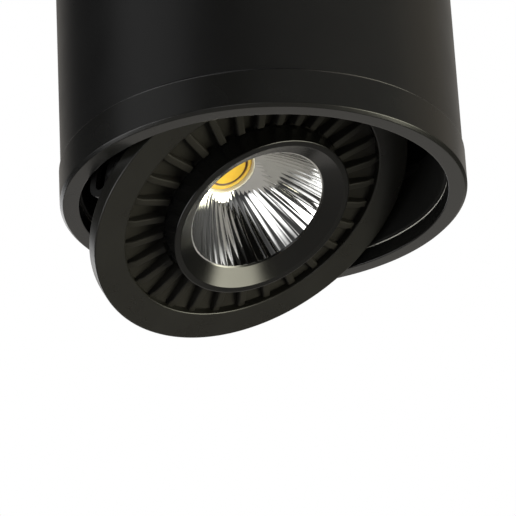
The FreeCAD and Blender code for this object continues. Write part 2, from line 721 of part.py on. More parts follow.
def square_plate(size, low, high):
    half = size / 2.0
    return block(-half, half, -half, half, low, high)


def thermal_pad():
    return at_head(square_plate(BOARD_SIZE, front(PAD_DEPTH), front(CUP_DEPTH)))


def led_board():
    return at_head(square_plate(BOARD_SIZE, front(BOARD_DEPTH), front(PAD_DEPTH)))


def led_emitter():
    return at_head(disc(EMITTER_RADIUS, front(LIGHT_DEPTH), front(BOARD_DEPTH)))


def emitter_dam():
    return at_head(ring(EMITTER_RADIUS + DAM_WIDTH, EMITTER_RADIUS,
                        front(BOARD_DEPTH - DAM_THICKNESS), front(BOARD_DEPTH)))


def led_holder():
    """Moulded ring that presses the board on the cup floor."""
    opening = EMITTER_RADIUS + DAM_WIDTH + SLIP_FIT
    body = ring(HOLDER_RADIUS, opening, front(HOLDER_DEPTH), front(CUP_DEPTH))
    body = body.cut(square_plate(BOARD_SIZE + 2 * SLIP_FIT, front(BOARD_DEPTH), front(CUP_DEPTH) + 1))
    for side in (-1, 1):
        body = body.cut(disc(HOLDER_SCREW_RADIUS + SCREW_FIT, front(HOLDER_DEPTH) - 1,
                             front(CUP_DEPTH) + 1, side * HOLDER_SCREW_CIRCLE, 0))
    return at_head(body.cut(disc(LEAD_HOLE_RADIUS, front(HOLDER_DEPTH) - 1, front(CUP_DEPTH) + 1,
                                 0, LEAD_HOLE_CIRCLE)))


def holder_screws():
    length = HOLDER_THICKNESS + CUP_FLOOR - 2 * SCREW_FIT
    return Part.makeCompound([
        at_head(pan_screw(HOLDER_SCREW_RADIUS, length, SMALL_HEAD_RADIUS, SMALL_HEAD_HEIGHT,
                          side * HOLDER_SCREW_CIRCLE, 0, front(HOLDER_DEPTH)))
        for side in (-1, 1)])


# ---- ceiling plate ----

def lug_angle(number):
    return LUG_START_ANGLE + number * 360.0 / LUG_COUNT


def fixing_slot(x):
    """One slotted hole along X for a ceiling screw."""
    half_run = FIXING_SLOT_LENGTH / 2.0 - FIXING_SLOT_RADIUS
    low = -PLATE_THICKNESS - 1
    return joined([
        block(x - half_run, x + half_run, -FIXING_SLOT_RADIUS, FIXING_SLOT_RADIUS, low, 1),
        disc(FIXING_SLOT_RADIUS, low, 1, x - half_run, 0),
        disc(FIXING_SLOT_RADIUS, low, 1, x + half_run, 0)])


def lug():
    """A tongue bent down from the plate's +X edge, with the hole that takes a side screw."""
    half = LUG_WIDTH / 2.0
    arm = block(LUG_X - 2 * LUG_ARM, LUG_X, -half, half, -PLATE_THICKNESS, 0)
    tongue = block(LUG_X - PLATE_THICKNESS, LUG_X, -half, half, -LUG_DROP, 0)
    body = joined([arm, tongue])
    body = body.makeFillet(LUG_BEND, edges_along(
        body, Y_AXIS, lambda middle: middle.x > LUG_X - 0.01 and middle.z > -0.01))
    hole = Part.makeCylinder(SCREW_RADIUS + SCREW_FIT, LUG_WIDTH,
                             FreeCAD.Vector(LUG_X - LUG_WIDTH, 0, -SIDE_SCREW_DROP),
                             FreeCAD.Vector(1, 0, 0))
    return body.cut(hole)


def lug_notch():
    """The relief cut in the plate's edge, a little wider than the tongue that is bent from it."""
    half = LUG_WIDTH / 2.0 + LUG_RELIEF
    return block(LUG_X - LUG_ARM, PLATE_RADIUS + 1, -half, half, -PLATE_THICKNESS - 1, 1)


def plate_screw_places():
    return ([(side * DRIVER_EAR_X, DRIVER_Y) for side in (-1, 1)]
            + [(side * BLOCK_SCREW_X, BLOCK_Y) for side in (-1, 1)])


def ceiling_plate():
    body = disc(PLATE_RADIUS, -PLATE_THICKNESS, 0)
    for number in range(LUG_COUNT):
        body = body.cut(turn(lug_notch(), lug_angle(number)))
    body = joined([body] + [turn(lug(), lug_angle(number)) for number in range(LUG_COUNT)])
    for side in (-1, 1):
        body = body.cut(fixing_slot(side * FIXING_SPACING / 2.0))
    low = -PLATE_THICKNESS - 1
    body = body.cut(disc(CABLE_HOLE_RADIUS, low, 1, 0, CABLE_HOLE_Y))
    body = body.cut(disc(EARTH_RADIUS + SCREW_FIT, low, 1, EARTH_X, EARTH_Y))
    for x, y in plate_screw_places():
        body = body.cut(disc(SCREW_RADIUS + SCREW_FIT, low, 1, x, y))
    return body


def side_screws():
    screws = []
    for number in range(LUG_COUNT):
        screw = pan_screw(SCREW_RADIUS, SIDE_SCREW_LENGTH, SCREW_HEAD_RADIUS, SCREW_HEAD_HEIGHT,
                          0, 0, -TUBE_RADIUS)
        screw.rotate(CENTRE, Y_AXIS, -90)
        screw.translate(FreeCAD.Vector(0, 0, -SIDE_SCREW_DROP))
        screws.append(turn(screw, lug_angle(number)))
    return Part.makeCompound(screws)


def plate_screws():
    """Two screws in the driver's ears and two in the terminal block's, up into the plate."""
    seat = -PLATE_THICKNESS - EAR_THICKNESS
    return Part.makeCompound([
        pan_screw(SCREW_RADIUS, -seat - PLATE_HIDE, SCREW_HEAD_RADIUS, SCREW_HEAD_HEIGHT, x, y, seat)
        for x, y in plate_screw_places()])


def earth_screw():
    return pan_screw(EARTH_RADIUS, PLATE_THICKNESS - PLATE_HIDE, EARTH_HEAD_RADIUS,
                     EARTH_HEAD_HEIGHT, EARTH_X, EARTH_Y, -PLATE_THICKNESS)


def cable_grommet():
    under = -PLATE_THICKNESS
    body = turned([
        (GROMMET_BORE, under - GROMMET_FLANGE_HEIGHT),
        (CABLE_HOLE_RADIUS + GROMMET_FLANGE - GROMMET_FLANGE_HEIGHT / 2.0, under - GROMMET_FLANGE_HEIGHT),
        (CABLE_HOLE_RADIUS + GROMMET_FLANGE, under - GROMMET_FLANGE_HEIGHT / 2.0),
        (CABLE_HOLE_RADIUS + GROMMET_FLANGE, under),
        (CABLE_HOLE_RADIUS - SLIP_FIT, under),
        (CABLE_HOLE_RADIUS - SLIP_FIT, -PLATE_HIDE),
        (GROMMET_BORE, -PLATE_HIDE)])
    body.translate(FreeCAD.Vector(0, CABLE_HOLE_Y, 0))
    return body


# ---- driver and terminal block ----

def screw_ears(x_half, ear_length, ear_width, y):
    """Two flat screw ears under the plate, beside a case, each with its hole."""
    top = -PLATE_THICKNESS
    low = top - EAR_THICKNESS
    ears = []
    for side in (-1, 1):
        inner = side * (x_half - EAR_CORNER)
        outer = side * (x_half + ear_length)
        ear = rounded_block(min(inner, outer), max(inner, outer), y - ear_width / 2.0,
                            y + ear_width / 2.0, low, top, EAR_CORNER)
        hole_x = side * (x_half + ear_length / 2.0)
        ears.append(ear.cut(disc(SCREW_RADIUS + SCREW_FIT, low - 1, top + 1, hole_x, y)))
    return ears


def driver_case():
    half = DRIVER_LENGTH / 2.0
    top = -PLATE_THICKNESS
    body = rounded_block(-half, half, DRIVER_Y - DRIVER_WIDTH / 2.0, DRIVER_Y + DRIVER_WIDTH / 2.0,
                         top - DRIVER_HEIGHT, top, DRIVER_CORNER)
    return joined([body] + screw_ears(half, DRIVER_EAR_LENGTH, DRIVER_EAR_WIDTH, DRIVER_Y))


def driver_lid():
    half_x = DRIVER_LENGTH / 2.0 - DRIVER_LID_INSET
    half_y = DRIVER_WIDTH / 2.0 - DRIVER_LID_INSET
    top = -PLATE_THICKNESS - DRIVER_HEIGHT
    lid = rounded_block(-half_x, half_x, DRIVER_Y - half_y, DRIVER_Y + half_y,
                        top - DRIVER_LID_THICKNESS, top, DRIVER_CORNER - DRIVER_LID_INSET)
    rim = [edge for edge in lid.Edges
           if abs(edge.BoundBox.ZMax - lid.BoundBox.ZMin) < 1e-6]
    return lid.makeChamfer(DRIVER_LID_THICKNESS / 3.0, rim)


def pole_places():
    middle = (BLOCK_POLES - 1) / 2.0
    return [(number - middle) * BLOCK_POLE_PITCH for number in range(BLOCK_POLES)]


def terminal_block():
    """Strip of humped poles, each with a wire tunnel and a screw well."""
    top = -PLATE_THICKNESS
    half = BLOCK_LENGTH / 2.0
    parts = [block(-half, half, BLOCK_Y - BLOCK_WIDTH / 2.0, BLOCK_Y + BLOCK_WIDTH / 2.0,
                   top - BLOCK_BASE_HEIGHT, top)]
    for x in pole_places():
        parts.append(rounded_block(x - BLOCK_POLE_LENGTH / 2.0, x + BLOCK_POLE_LENGTH / 2.0,
                                   BLOCK_Y - BLOCK_POLE_WIDTH / 2.0, BLOCK_Y + BLOCK_POLE_WIDTH / 2.0,
                                   top - BLOCK_HEIGHT, top, BLOCK_POLE_CORNER))
    parts += screw_ears(half, 2 * SCREW_HEAD_RADIUS, 2 * (SCREW_HEAD_RADIUS + BLOCK_EAR_MARGIN), BLOCK_Y)
    body = joined(parts)
    for x in pole_places():
        body = body.cut(rod(BLOCK_WIRE_HOLE, BLOCK_Y - BLOCK_WIDTH, BLOCK_Y + BLOCK_WIDTH,
                            x, top - BLOCK_WIRE_DROP))
        body = body.cut(disc(CLAMP_SCREW_RADIUS + SCREW_FIT, top - BLOCK_HEIGHT - 1,
                             top - BLOCK_WIRE_DROP, x, BLOCK_Y))
    return body


def terminal_screws():
    low = -PLATE_THICKNESS - BLOCK_HEIGHT + CLAMP_SCREW_SINK
    return Part.makeCompound([disc(CLAMP_SCREW_RADIUS, low, low + CLAMP_SCREW_LENGTH, x, BLOCK_Y)
                              for x in pole_places()])


# ---- write every node ----

def nodes():
    bracket = hinge_bracket()
    sector = sector_plate()
    return {
        "ceiling_plate": ceiling_plate(),
        "cable_grommet": cable_grommet(),
        "earth_screw": earth_screw(),
        "driver_case": driver_case(),
        "driver_lid": driver_lid(),
        "terminal_block": terminal_block(),
        "terminal_screws": terminal_screws(),
        "plate_screws": plate_screws(),
        "housing_tube": housing_tube(),
        "side_screws": side_screws(),
        "collar": collar(),
        "stop_pin": stop_pin(),
        "glide_washer": glide_washer(),
        "friction_ring": friction_ring(),
        "circlip": circlip(),
        "turning_ring": turning_ring(),
        "hinge_bracket_right": bracket,
        "hinge_bracket_left": turn(bracket, 180),
        "bracket_screws": bracket_screws(),
        "hinge_pins": hinge_pins(),
        "friction_washers": friction_washers(),
        "heat_sink": heat_sink(),
        "sector_plate_right": at_head(sector),
        "sector_plate_left": at_head(turn(sector, 180)),
        "sector_screws": sector_screws(),
        "lead_gland": lead_gland(),
        "bezel": bezel(),
        "reflector": reflector(),
        "led_holder": led_holder(),
        "holder_screws": holder_screws(),
        "led_board": led_board(),
        "thermal_pad": thermal_pad(),
        "led_emitter": led_emitter(),
        "emitter_dam": emitter_dam(),
    }


def main():
    os.makedirs("parts", exist_ok=True)
    for name, shape in nodes().items():
        shape.exportStep("parts/" + name + ".step")
        print(name, len(shape.Solids), shape.isValid(), round(shape.Volume, 1))


main()
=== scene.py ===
import math

import bmesh
import bpy
from mathutils import Matrix, Vector


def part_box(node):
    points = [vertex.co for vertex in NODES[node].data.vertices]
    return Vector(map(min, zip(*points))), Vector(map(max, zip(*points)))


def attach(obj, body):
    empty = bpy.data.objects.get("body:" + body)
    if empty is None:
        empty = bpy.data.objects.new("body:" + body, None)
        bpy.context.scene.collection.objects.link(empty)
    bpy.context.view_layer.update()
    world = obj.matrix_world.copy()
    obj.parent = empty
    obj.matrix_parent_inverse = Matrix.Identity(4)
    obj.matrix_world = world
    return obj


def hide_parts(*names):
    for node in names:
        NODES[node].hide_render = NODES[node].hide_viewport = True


bl_info = {
    "name": "Tilting Ceiling Spotlight",
    "version": (1, 0, 0),
    "blender": (4, 5, 0),
    "location": "3D View > Sidebar > Spotlight",
    "description": "Finishes a surface mounted ceiling spotlight around its engineering model",
    "category": "Object",
}

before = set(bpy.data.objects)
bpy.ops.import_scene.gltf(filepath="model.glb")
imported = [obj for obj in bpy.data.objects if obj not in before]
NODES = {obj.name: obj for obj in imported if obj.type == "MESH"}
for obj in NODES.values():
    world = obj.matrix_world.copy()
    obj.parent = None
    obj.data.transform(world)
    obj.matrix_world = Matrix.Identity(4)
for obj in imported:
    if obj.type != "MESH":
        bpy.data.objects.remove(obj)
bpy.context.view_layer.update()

MM = 0.001

# ---- how finely the pieces are made ----
TURNED_SEGMENTS = 192
CAST_SEGMENTS = 96
GROMMET_SEGMENTS = 64
ROUND_STEPS = 4

# Edges that turn more than SHARP_ANGLE are rounded, and a prism's from CREASE_ANGLE on. Faces that
# turn less than FLAT_ANGLE are one face, and points nearer than a weld distance are one point.
SHARP_ANGLE = math.radians(35.0)
CREASE_ANGLE = 0.6
FLAT_ANGLE = math.radians(1.0)
WELD = 1e-6
SPIN_WELD = 1e-7

# ---- places and sizes of the engineering model, in metres and radians ----
FIT = 0.1 * MM
RIM_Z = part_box("collar")[0].z
SPIGOT_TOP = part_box("collar")[1].z
COLLAR_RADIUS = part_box("collar")[1].x
SEAM_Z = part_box("housing_tube")[0].z
TUBE_TOP_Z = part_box("housing_tube")[1].z
TUBE_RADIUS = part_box("housing_tube")[1].x
TUBE_BORE = TUBE_RADIUS - 2.0 * MM
SPIGOT_RADIUS = TUBE_BORE - FIT
COLLAR_BORE = SPIGOT_RADIUS - 1.0 * MM
LIP_BORE = COLLAR_RADIUS - 5.7 * MM
LIP_Z = RIM_Z + 4.6 * MM
CIRCLIP_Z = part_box("circlip")[0].z
CIRCLIP_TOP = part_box("circlip")[1].z + 0.05 * MM
GROOVE_RADIUS = COLLAR_BORE + 1.1 * MM
RING_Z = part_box("turning_ring")[0].z
RING_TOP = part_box("turning_ring")[1].z
RING_BORE = LIP_BORE - 0.9 * MM
RING_WALL_RADIUS = RING_BORE + 1.1 * MM
RING_RADIUS = COLLAR_BORE - 0.3 * MM
RING_FLANGE_TOP = RING_Z + 2.5 * MM
BRACKET_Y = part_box("hinge_bracket_right")[0].y
SHELF_Y = BRACKET_Y + 3.1 * MM
SHELF_Z = RING_TOP - 2.0 * MM
TILT = math.radians(30.0)
PIVOT_Z = -116.1 * MM
FACE_TO_PIVOT = 7.3 * MM
FLANGE_RADIUS = 51.3 * MM
FLANGE_BORE = 41.5 * MM
FLANGE_THICKNESS = 4.5 * MM
HUB_RADIUS = 27.5 * MM
HUB_RECESS = 1.5 * MM
CUP_RADIUS = 25.5 * MM
CUP_DEPTH = 19.3 * MM
CUP_FLOOR = 4.0 * MM
CORE_RADIUS = 20.0 * MM
SINK_DEPTH = 33.0 * MM
BEZEL_RADIUS = 28.6 * MM
BEZEL_PROUD = 5.9 * MM
THROAT_RADIUS = 21.7 * MM
THROAT_PROUD = 2.6 * MM
BEZEL_LAND = 0.45 * MM
LIGHT_DEPTH = 17.5 * MM
EMITTER_RADIUS = 6.3 * MM
DAM_RADIUS = 7.7 * MM
HOLDER_DEPTH = CUP_DEPTH - 3.0 * MM
FIN_COUNT = 30
FIN_THICKNESS = 2.4 * MM
HEAD_PLACE = Matrix.Translation((0, 0, PIVOT_Z)) @ Matrix.Rotation(-TILT, 4, "Y")

# Screws: radius of the shank, length under the head, radius and height of the head.
SIDE_SCREW = (1.5 * MM, 7.0 * MM, 2.75 * MM, 1.7 * MM)
PLATE_SCREW = (1.5 * MM, 3.8 * MM, 2.75 * MM, 1.7 * MM)
HINGE_SCREW = (1.0 * MM, 3.2 * MM, 1.9 * MM, 1.3 * MM)
HOLDER_SCREW = (1.25 * MM, 6.9 * MM, 1.9 * MM, 1.3 * MM)
EARTH_SCREW = (2.0 * MM, 1.3 * MM, 3.6 * MM, 2.6 * MM)


# ---- properties ----

class SpotlightShape(bpy.types.PropertyGroup):
    """Sizes that the finished pieces add to the engineering model."""
    edge_round: bpy.props.FloatProperty(
        name="Edge rounding", description="Radius of the machined edges",
        default=0.5 * MM, min=0.05 * MM, max=0.8 * MM, unit="LENGTH")
    fin_round: bpy.props.FloatProperty(
        name="Fin rounding", description="Radius of the cast fins' edges",
        default=0.5 * MM, min=0.05 * MM, max=1.0 * MM, unit="LENGTH")
    sheet_round: bpy.props.FloatProperty(
        name="Sheet rounding",
        description="Radius that deburring leaves on stamped and moulded edges",
        default=0.15 * MM, min=0.02 * MM, max=0.4 * MM, unit="LENGTH")
    flute_count: bpy.props.IntProperty(
        name="Flutes", description="Number of flutes round the reflector",
        default=54, min=8, max=72)
    flute_bulge: bpy.props.FloatProperty(
        name="Flute bulge", description="How far the middle of a flute stands in from its edges",
        default=0.13 * MM, min=0.0, max=0.5 * MM, unit="LENGTH")


class SpotlightFinish(bpy.types.PropertyGroup):
    """Colours of the finished pieces."""
    paint: bpy.props.StringProperty(
        name="Housing paint", description="sRGB colour of the powder coat", default="#151515")
    casting: bpy.props.StringProperty(
        name="Casting paint", description="sRGB colour of the heat sink's dip coat",
        default="#171714")
    # The raw skin is a matt coat; its lighter shade here is painted fill light for the fins, which
    # lie in the housing's shade.
    casting_skin_and_painted_fill: bpy.props.StringProperty(
        name="Casting skin",
        description="sRGB colour of the dip coat where the casting is left raw",
        default="#201f1c")
    phosphor: bpy.props.StringProperty(
        name="Phosphor", description="sRGB colour of the unlit light source", default="#e8c440")


class SpotlightStage(bpy.types.PropertyGroup):
    """Camera and light levels."""
    lens: bpy.props.FloatProperty(
        name="Lens", description="Focal length on a 36 mm sensor",
        default=234.31, min=20.0, max=500.0)
    distance: bpy.props.FloatProperty(
        name="Distance", description="From the camera to the plane of the rim's middle",
        default=0.98782, min=0.2, max=5.0, unit="LENGTH")
    azimuth: bpy.props.FloatProperty(
        name="Azimuth", description="Camera's place round the lamp, 0 looks along +Y",
        default=math.radians(36.35), subtype="ANGLE")
    elevation: bpy.props.FloatProperty(
        name="Elevation", description="How steeply the camera looks up",
        default=math.radians(25.67), subtype="ANGLE")
    roll: bpy.props.FloatProperty(
        name="Roll", description="Camera's turn about its own axis",
        default=math.radians(3.09), subtype="ANGLE")
    aim_right: bpy.props.FloatProperty(
        name="Aim right", description="How far right of the view's middle the rim's middle lies",
        default=0.001776, unit="LENGTH")
    aim_up: bpy.props.FloatProperty(
        name="Aim up", description="How far above the view's middle the rim's middle lies",
        default=0.016398, unit="LENGTH")
    room_light: bpy.props.FloatProperty(
        name="Room light", description="Strength of the dim light from all round",
        default=0.05, min=0.0)
    soft_light: bpy.props.FloatProperty(
        name="Soft lights", description="Factor on the soft lights of the studio",
        default=1.0, min=0.0)


# ---- small tools ----

def linear(code):
    """An sRGB hex colour as linear RGBA."""
    channels = [int(code[start:start + 2], 16) / 255 for start in (1, 3, 5)]
    colour = [c / 12.92 if c <= 0.04045 else ((c + 0.055) / 1.055) ** 2.4 for c in channels]
    return (*colour, 1.0)


def add_node(tree, kind, settings=None, inputs=None):
    """Add a node, set its properties, and set or link its inputs."""
    node = tree.nodes.new(kind)
    for name, value in (settings or {}).items():
        setattr(node, name, value)
    for name, value in (inputs or {}).items():
        if isinstance(value, bpy.types.NodeSocket):
            tree.links.new(value, node.inputs[name])
        else:
            node.inputs[name].default_value = value
    return node


def place(bm, name, matrix=None, bevel=0.0):
    """Turn a bmesh into a smooth object in the model's frame, with its sharp edges rounded."""
    bmesh.ops.recalc_face_normals(bm, faces=bm.faces)
    for face in bm.faces:
        face.smooth = True
    for edge in bm.edges:
        edge.smooth = edge.calc_face_angle(0.0) < SHARP_ANGLE
    mesh = bpy.data.meshes.new(name)
    bm.to_mesh(mesh)
    bm.free()
    if matrix is not None:
        mesh.transform(matrix)
    piece = bpy.data.objects.new(name, mesh)
    bpy.context.scene.collection.objects.link(piece)
    if bevel > 0.0:
        rounding = piece.modifiers.new("Rounded edges", "BEVEL")
        rounding.width = bevel
        rounding.segments = 2
        rounding.limit_method = "ANGLE"
        rounding.angle_limit = SHARP_ANGLE
    weighted = piece.modifiers.new("Weighted normals", "WEIGHTED_NORMAL")
    weighted.keep_sharp = True
    return piece


def dress(piece, material, body, slot, *nodes):
    """Give a piece its material and its body, and hide the nodes that it stands for. The slot is
    not used.
    """
    piece.data.materials.append(material)
    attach(piece, body)
    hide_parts(*nodes)


def coat_nodes(material, *names):
    """Put a material on engineering nodes whose shape is kept."""
    for name in names:
        for slot in NODES[name].material_slots:
            slot.material = material


def eased(name, node, radius):
    """A copy of an engineering node with its flat faces whole again and its edges rounded."""
    bm = bmesh.new()
    bm.from_mesh(NODES[node].data)
    bmesh.ops.remove_doubles(bm, verts=bm.verts, dist=WELD)
    bmesh.ops.dissolve_limit(bm, angle_limit=FLAT_ANGLE, verts=bm.verts, edges=bm.edges)
    return place(bm, name, bevel=radius)


def rounded(outline, radius, steps=ROUND_STEPS):
    """A closed outline with its corners rounded as far as their sides leave room.
    Each corner becomes steps + 1 points."""
    points = []
    count = len(outline)
    room = 0.45
    for number, corner in enumerate(outline):
        corner = Vector(corner)
        before = Vector(outline[number - 1]) - corner
        after = Vector(outline[(number + 1) % count]) - corner
        turn = math.pi - before.angle(after)
        reach = min(radius * math.tan(turn / 2.0), room * before.length, room * after.length)
        start = corner + before.normalized() * reach
        end = corner + after.normalized() * reach
        for step in range(steps + 1):
            share = step / steps
            points.append(start.lerp(corner, share).lerp(corner.lerp(end, share), share))
    return points


def lathe(bm, outline, segments):
    """Turn a closed (radius, height) outline about Z."""
    corners = [bm.verts.new((point[0], 0.0, point[1])) for point in outline]
    sides = [bm.edges.new((corners[number - 1], corner)) for number, corner in enumerate(corners)]
    bmesh.ops.spin(bm, geom=corners + sides, cent=(0, 0, 0), axis=(0, 0, 1),
                   angle=2 * math.pi, steps=segments, use_merge=True)
    bmesh.ops.remove_doubles(bm, verts=bm.verts, dist=SPIN_WELD)
    return bm


def loft(bm, rings):
    """Skin closed rings of equally many points, one after the other, and close both ends."""
    made = [[bm.verts.new(point) for point in ring] for ring in rings]
    for low, high in zip(made, made[1:]):
        for number in range(len(low)):
            bm.faces.new((low[number - 1], low[number], high[number], high[number - 1]))
    bm.faces.new(reversed(made[0]))
    bm.faces.new(made[-1])
    return bm


def prism(bm, outline, start, end, axis="Y", bevel=0.0):
    """Push a closed outline from start to end: (x, z) points along Y or (x, y) points along Z."""
    def point(pair, along):
        return (pair[0], along, pair[1]) if axis == "Y" else (pair[0], pair[1], along)

    near = [bm.verts.new(point(pair, start)) for pair in outline]
    far = [bm.verts.new(point(pair, end)) for pair in outline]
    faces = [bm.faces.new(near), bm.faces.new(far)]
    for number in range(len(outline)):
        faces.append(bm.faces.new((near[number - 1], near[number], far[number], far[number - 1])))
    if bevel > 0.0:
        bmesh.ops.recalc_face_normals(bm, faces=faces)
        edges = list({edge for face in faces for edge in face.edges
                      if edge.calc_face_angle(0.0) > CREASE_ANGLE})
        bmesh.ops.bevel(bm, geom=edges, offset=bevel, segments=3, profile=0.5, affect="EDGES",
                        clamp_overlap=True)
    return bm


def box_outline(left, right, low, high):
    """The four corners of a rectangle, in order."""
    return [(left, low), (right, low), (right, high), (left, high)]


def repeated(bm, part, matrices):
    """Add a bmesh to another one once for each matrix, and free it."""
    mesh = bpy.data.meshes.new("repeat")
    part.to_mesh(mesh)
    part.free()
    for matrix in matrices:
        copy = mesh.copy()
        copy.transform(matrix)
        bm.from_mesh(copy)
        bpy.data.meshes.remove(copy)
    bpy.data.meshes.remove(mesh)
    return bm


def front(depth):
    """Height above the pivot of a plane this far behind the flange's face."""
    return FACE_TO_PIVOT + depth


# ---- materials ----

def surface(name, shade, deep, mottle, rough, grain, relief, uniform):
    """Two shades mixed by soft mottling that also varies the roughness, over a fine grain.
    mottle and grain are sizes and relief is the grain's depth, all in metres. rough is the least
    and the most roughness, and uniform sets the shader's other sockets."""
    material = bpy.data.materials.new(name)
    material.use_nodes = True
    tree = material.node_tree
    tree.nodes.clear()
    place_on_piece = add_node(tree, "ShaderNodeTexCoord").outputs["Object"]
    clouds = add_node(tree, "ShaderNodeTexNoise", inputs={
        "Vector": place_on_piece, "Scale": 1.0 / mottle, "Detail": 3.0, "Roughness": 0.55})
    colour = add_node(tree, "ShaderNodeMix", {"data_type": "RGBA"}, {
        "Factor": clouds.outputs["Fac"], "A": linear(deep), "B": linear(shade)})
    roughness = add_node(tree, "ShaderNodeMapRange", inputs={
        "Value": clouds.outputs["Fac"], "From Min": 0.3, "From Max": 0.7,
        "To Min": rough[0], "To Max": rough[1]})
    specks = add_node(tree, "ShaderNodeTexNoise", inputs={
        "Vector": place_on_piece, "Scale": 1.0 / grain, "Detail": 2.0})
    bump = add_node(tree, "ShaderNodeBump", inputs={
        "Height": specks.outputs["Fac"], "Distance": relief, "Strength": 1.0})
    shader = add_node(tree, "ShaderNodeBsdfPrincipled", inputs={
        "Base Color": colour.outputs["Result"], "Roughness": roughness.outputs["Result"],
        "Normal": bump.outputs["Normal"], **uniform})
    add_node(tree, "ShaderNodeOutputMaterial", inputs={"Surface": shader.outputs["BSDF"]})
    return material


def powder_coat(shade):
    """Polyester powder coat, sprayed and baked: satin black with a fine orange peel."""
    return surface("powder_coated_aluminium", shade, "#131313", 18 * MM, (0.27, 0.33),
                   0.9 * MM, 0.004 * MM, {"Specular IOR Level": 0.25})


def turned_black():
    """Aluminium turned and anodised satin black: smoother than paint, brighter along its edges."""
    return surface("black_anodised_turned_aluminium", "#151514", "#111110", 14 * MM, (0.22, 0.28),
                   0.35 * MM, 0.0015 * MM, {"Specular IOR Level": 0.3})


def blasted_black():
    """Aluminium turned, bead blasted and anodised black: matt, so it stays dark inside the tube."""
    return surface("black_anodised_blasted_aluminium", "#191918", "#131312", 14 * MM, (0.5, 0.6),
                   0.3 * MM, 0.004 * MM, {"Specular IOR Level": 0.12})


def turned_casting(shade):
    """Die cast aluminium, turned and then dip coated: warm black, nearly as sleek as paint."""
    return surface("dip_coated_turned_casting", shade, "#12110e", 12 * MM, (0.26, 0.34),
                   0.45 * MM, 0.004 * MM, {"Specular IOR Level": 0.35})


def raw_casting_with_painted_fill(shade):
    """The same dip coat over the skin that the mould leaves: matt, with the casting's grain. Its
    shade is lighter than the turned face's as painted fill light for the fins, which lie in shade.
    """
    return surface("dip_coated_raw_casting_painted_fill", shade, "#181715", 12 * MM, (0.5, 0.6),
                   0.5 * MM, 0.012 * MM, {"Specular IOR Level": 0.1})


def gloss_black():
    """Aluminium turned and sprayed with a clear coated black: it mirrors the lights softly."""
    return surface("lacquered_turned_aluminium", "#0d0d0c", "#090909", 9 * MM, (0.16, 0.22),
                   0.4 * MM, 0.0015 * MM, {"Specular IOR Level": 0.32})


def metallised_mirror():
    """Polycarbonate moulded with flutes and vacuum metallised: a bright mirror, faintly hazed."""
    return surface("vacuum_metallised_reflector", "#f6f6f4", "#e2e2e0", 5 * MM, (0.03, 0.07),
                   1.6 * MM, 0.003 * MM, {"Metallic": 1.0})


def yellow_phosphor(shade):
    """Silicone gel filled with phosphor, dispensed over the chips: matt golden yellow, grainy."""
    return surface("phosphor_gel", shade, "#d8a828", 1.5 * MM, (0.45, 0.6),
                   0.15 * MM, 0.01 * MM, {"Subsurface Weight": 0.2, "Subsurface Scale": 0.5 * MM})


def shaded_gel_edge():
    """The phosphor gel in the gutter against the dam, painted deep amber: painted shade in that
    crease.
    """
    return surface("gel_edge_painted_shade", "#5a3208", "#3c1f04", 1.5 * MM, (0.4, 0.55),
                   0.15 * MM, 0.006 * MM, {})


def pale_dam():
    """Silicone bead dispensed round the phosphor: translucent, tinted by it to a paler yellow."""
    return surface("dispensed_silicone_dam", "#e8c860", "#d8b040", 2 * MM, (0.3, 0.4),
                   0.3 * MM, 0.004 * MM, {"Subsurface Weight": 0.3, "Subsurface Scale": 0.6 * MM})


def black_steel():
    """Steel sheet, stamped and blackened: dark grey with a dull sheen."""
    return surface("blackened_stamped_steel", "#232322", "#181818", 6 * MM, (0.35, 0.5),
                   0.3 * MM, 0.004 * MM, {"Metallic": 0.6})


def zinc_steel():
    """Steel sheet, stamped and bright zinc plated: blue grey metal with a soft bloom."""
    return surface("zinc_plated_steel", "#b9bdc2", "#9a9ea4", 5 * MM, (0.3, 0.48),
                   0.4 * MM, 0.004 * MM, {"Metallic": 1.0})


def black_oxide():
    """Steel screws, cold headed and black oxidised: dark blue grey with worn highlights."""
    return surface("black_oxidised_screw_steel", "#2c2c2e", "#1c1c1d", 2 * MM, (0.3, 0.42),
                   0.2 * MM, 0.003 * MM, {"Metallic": 0.8})


def spring_steel():
    """Spring steel, rolled and phosphated: nearly black metal with an oily sheen."""
    return surface("phosphated_spring_steel", "#4a4946", "#363533", 4 * MM, (0.3, 0.42),
                   0.25 * MM, 0.003 * MM, {"Metallic": 0.9})


def brass():
    """Brass rod, turned: yellow metal with fine tool marks."""
    return surface("turned_brass", "#d8b25c", "#c49a45", 3 * MM, (0.2, 0.32),
                   0.2 * MM, 0.003 * MM, {"Metallic": 1.0})


def black_rubber():
    """EPDM rubber, moulded: deep matt black."""
    return surface("moulded_rubber", "#1a1a1a", "#131313", 4 * MM, (0.6, 0.75),
                   0.3 * MM, 0.01 * MM, {"Specular IOR Level": 0.3})


def white_plastic(name, shade, deep):
    """Flame retardant plastic, injection moulded with a fine spark eroded texture."""
    return surface(name, shade, deep, 15 * MM, (0.42, 0.55), 0.4 * MM, 0.012 * MM,
                   {"Specular IOR Level": 0.45})


def alumina():
    """Alumina ceramic, fired and lapped: dense bright white."""
    return surface("fired_alumina", "#ecebe6", "#dddcd6", 4 * MM, (0.25, 0.35),
                   0.15 * MM, 0.002 * MM, {"Specular IOR Level": 0.6})


def silicone_pad():
    """Silicone sheet filled with ceramic, calendered: soft grey."""
    return surface("calendered_silicone_sheet", "#74777b", "#62656a", 3 * MM, (0.6, 0.7),
                   0.2 * MM, 0.006 * MM, {})


# ---- housing ----

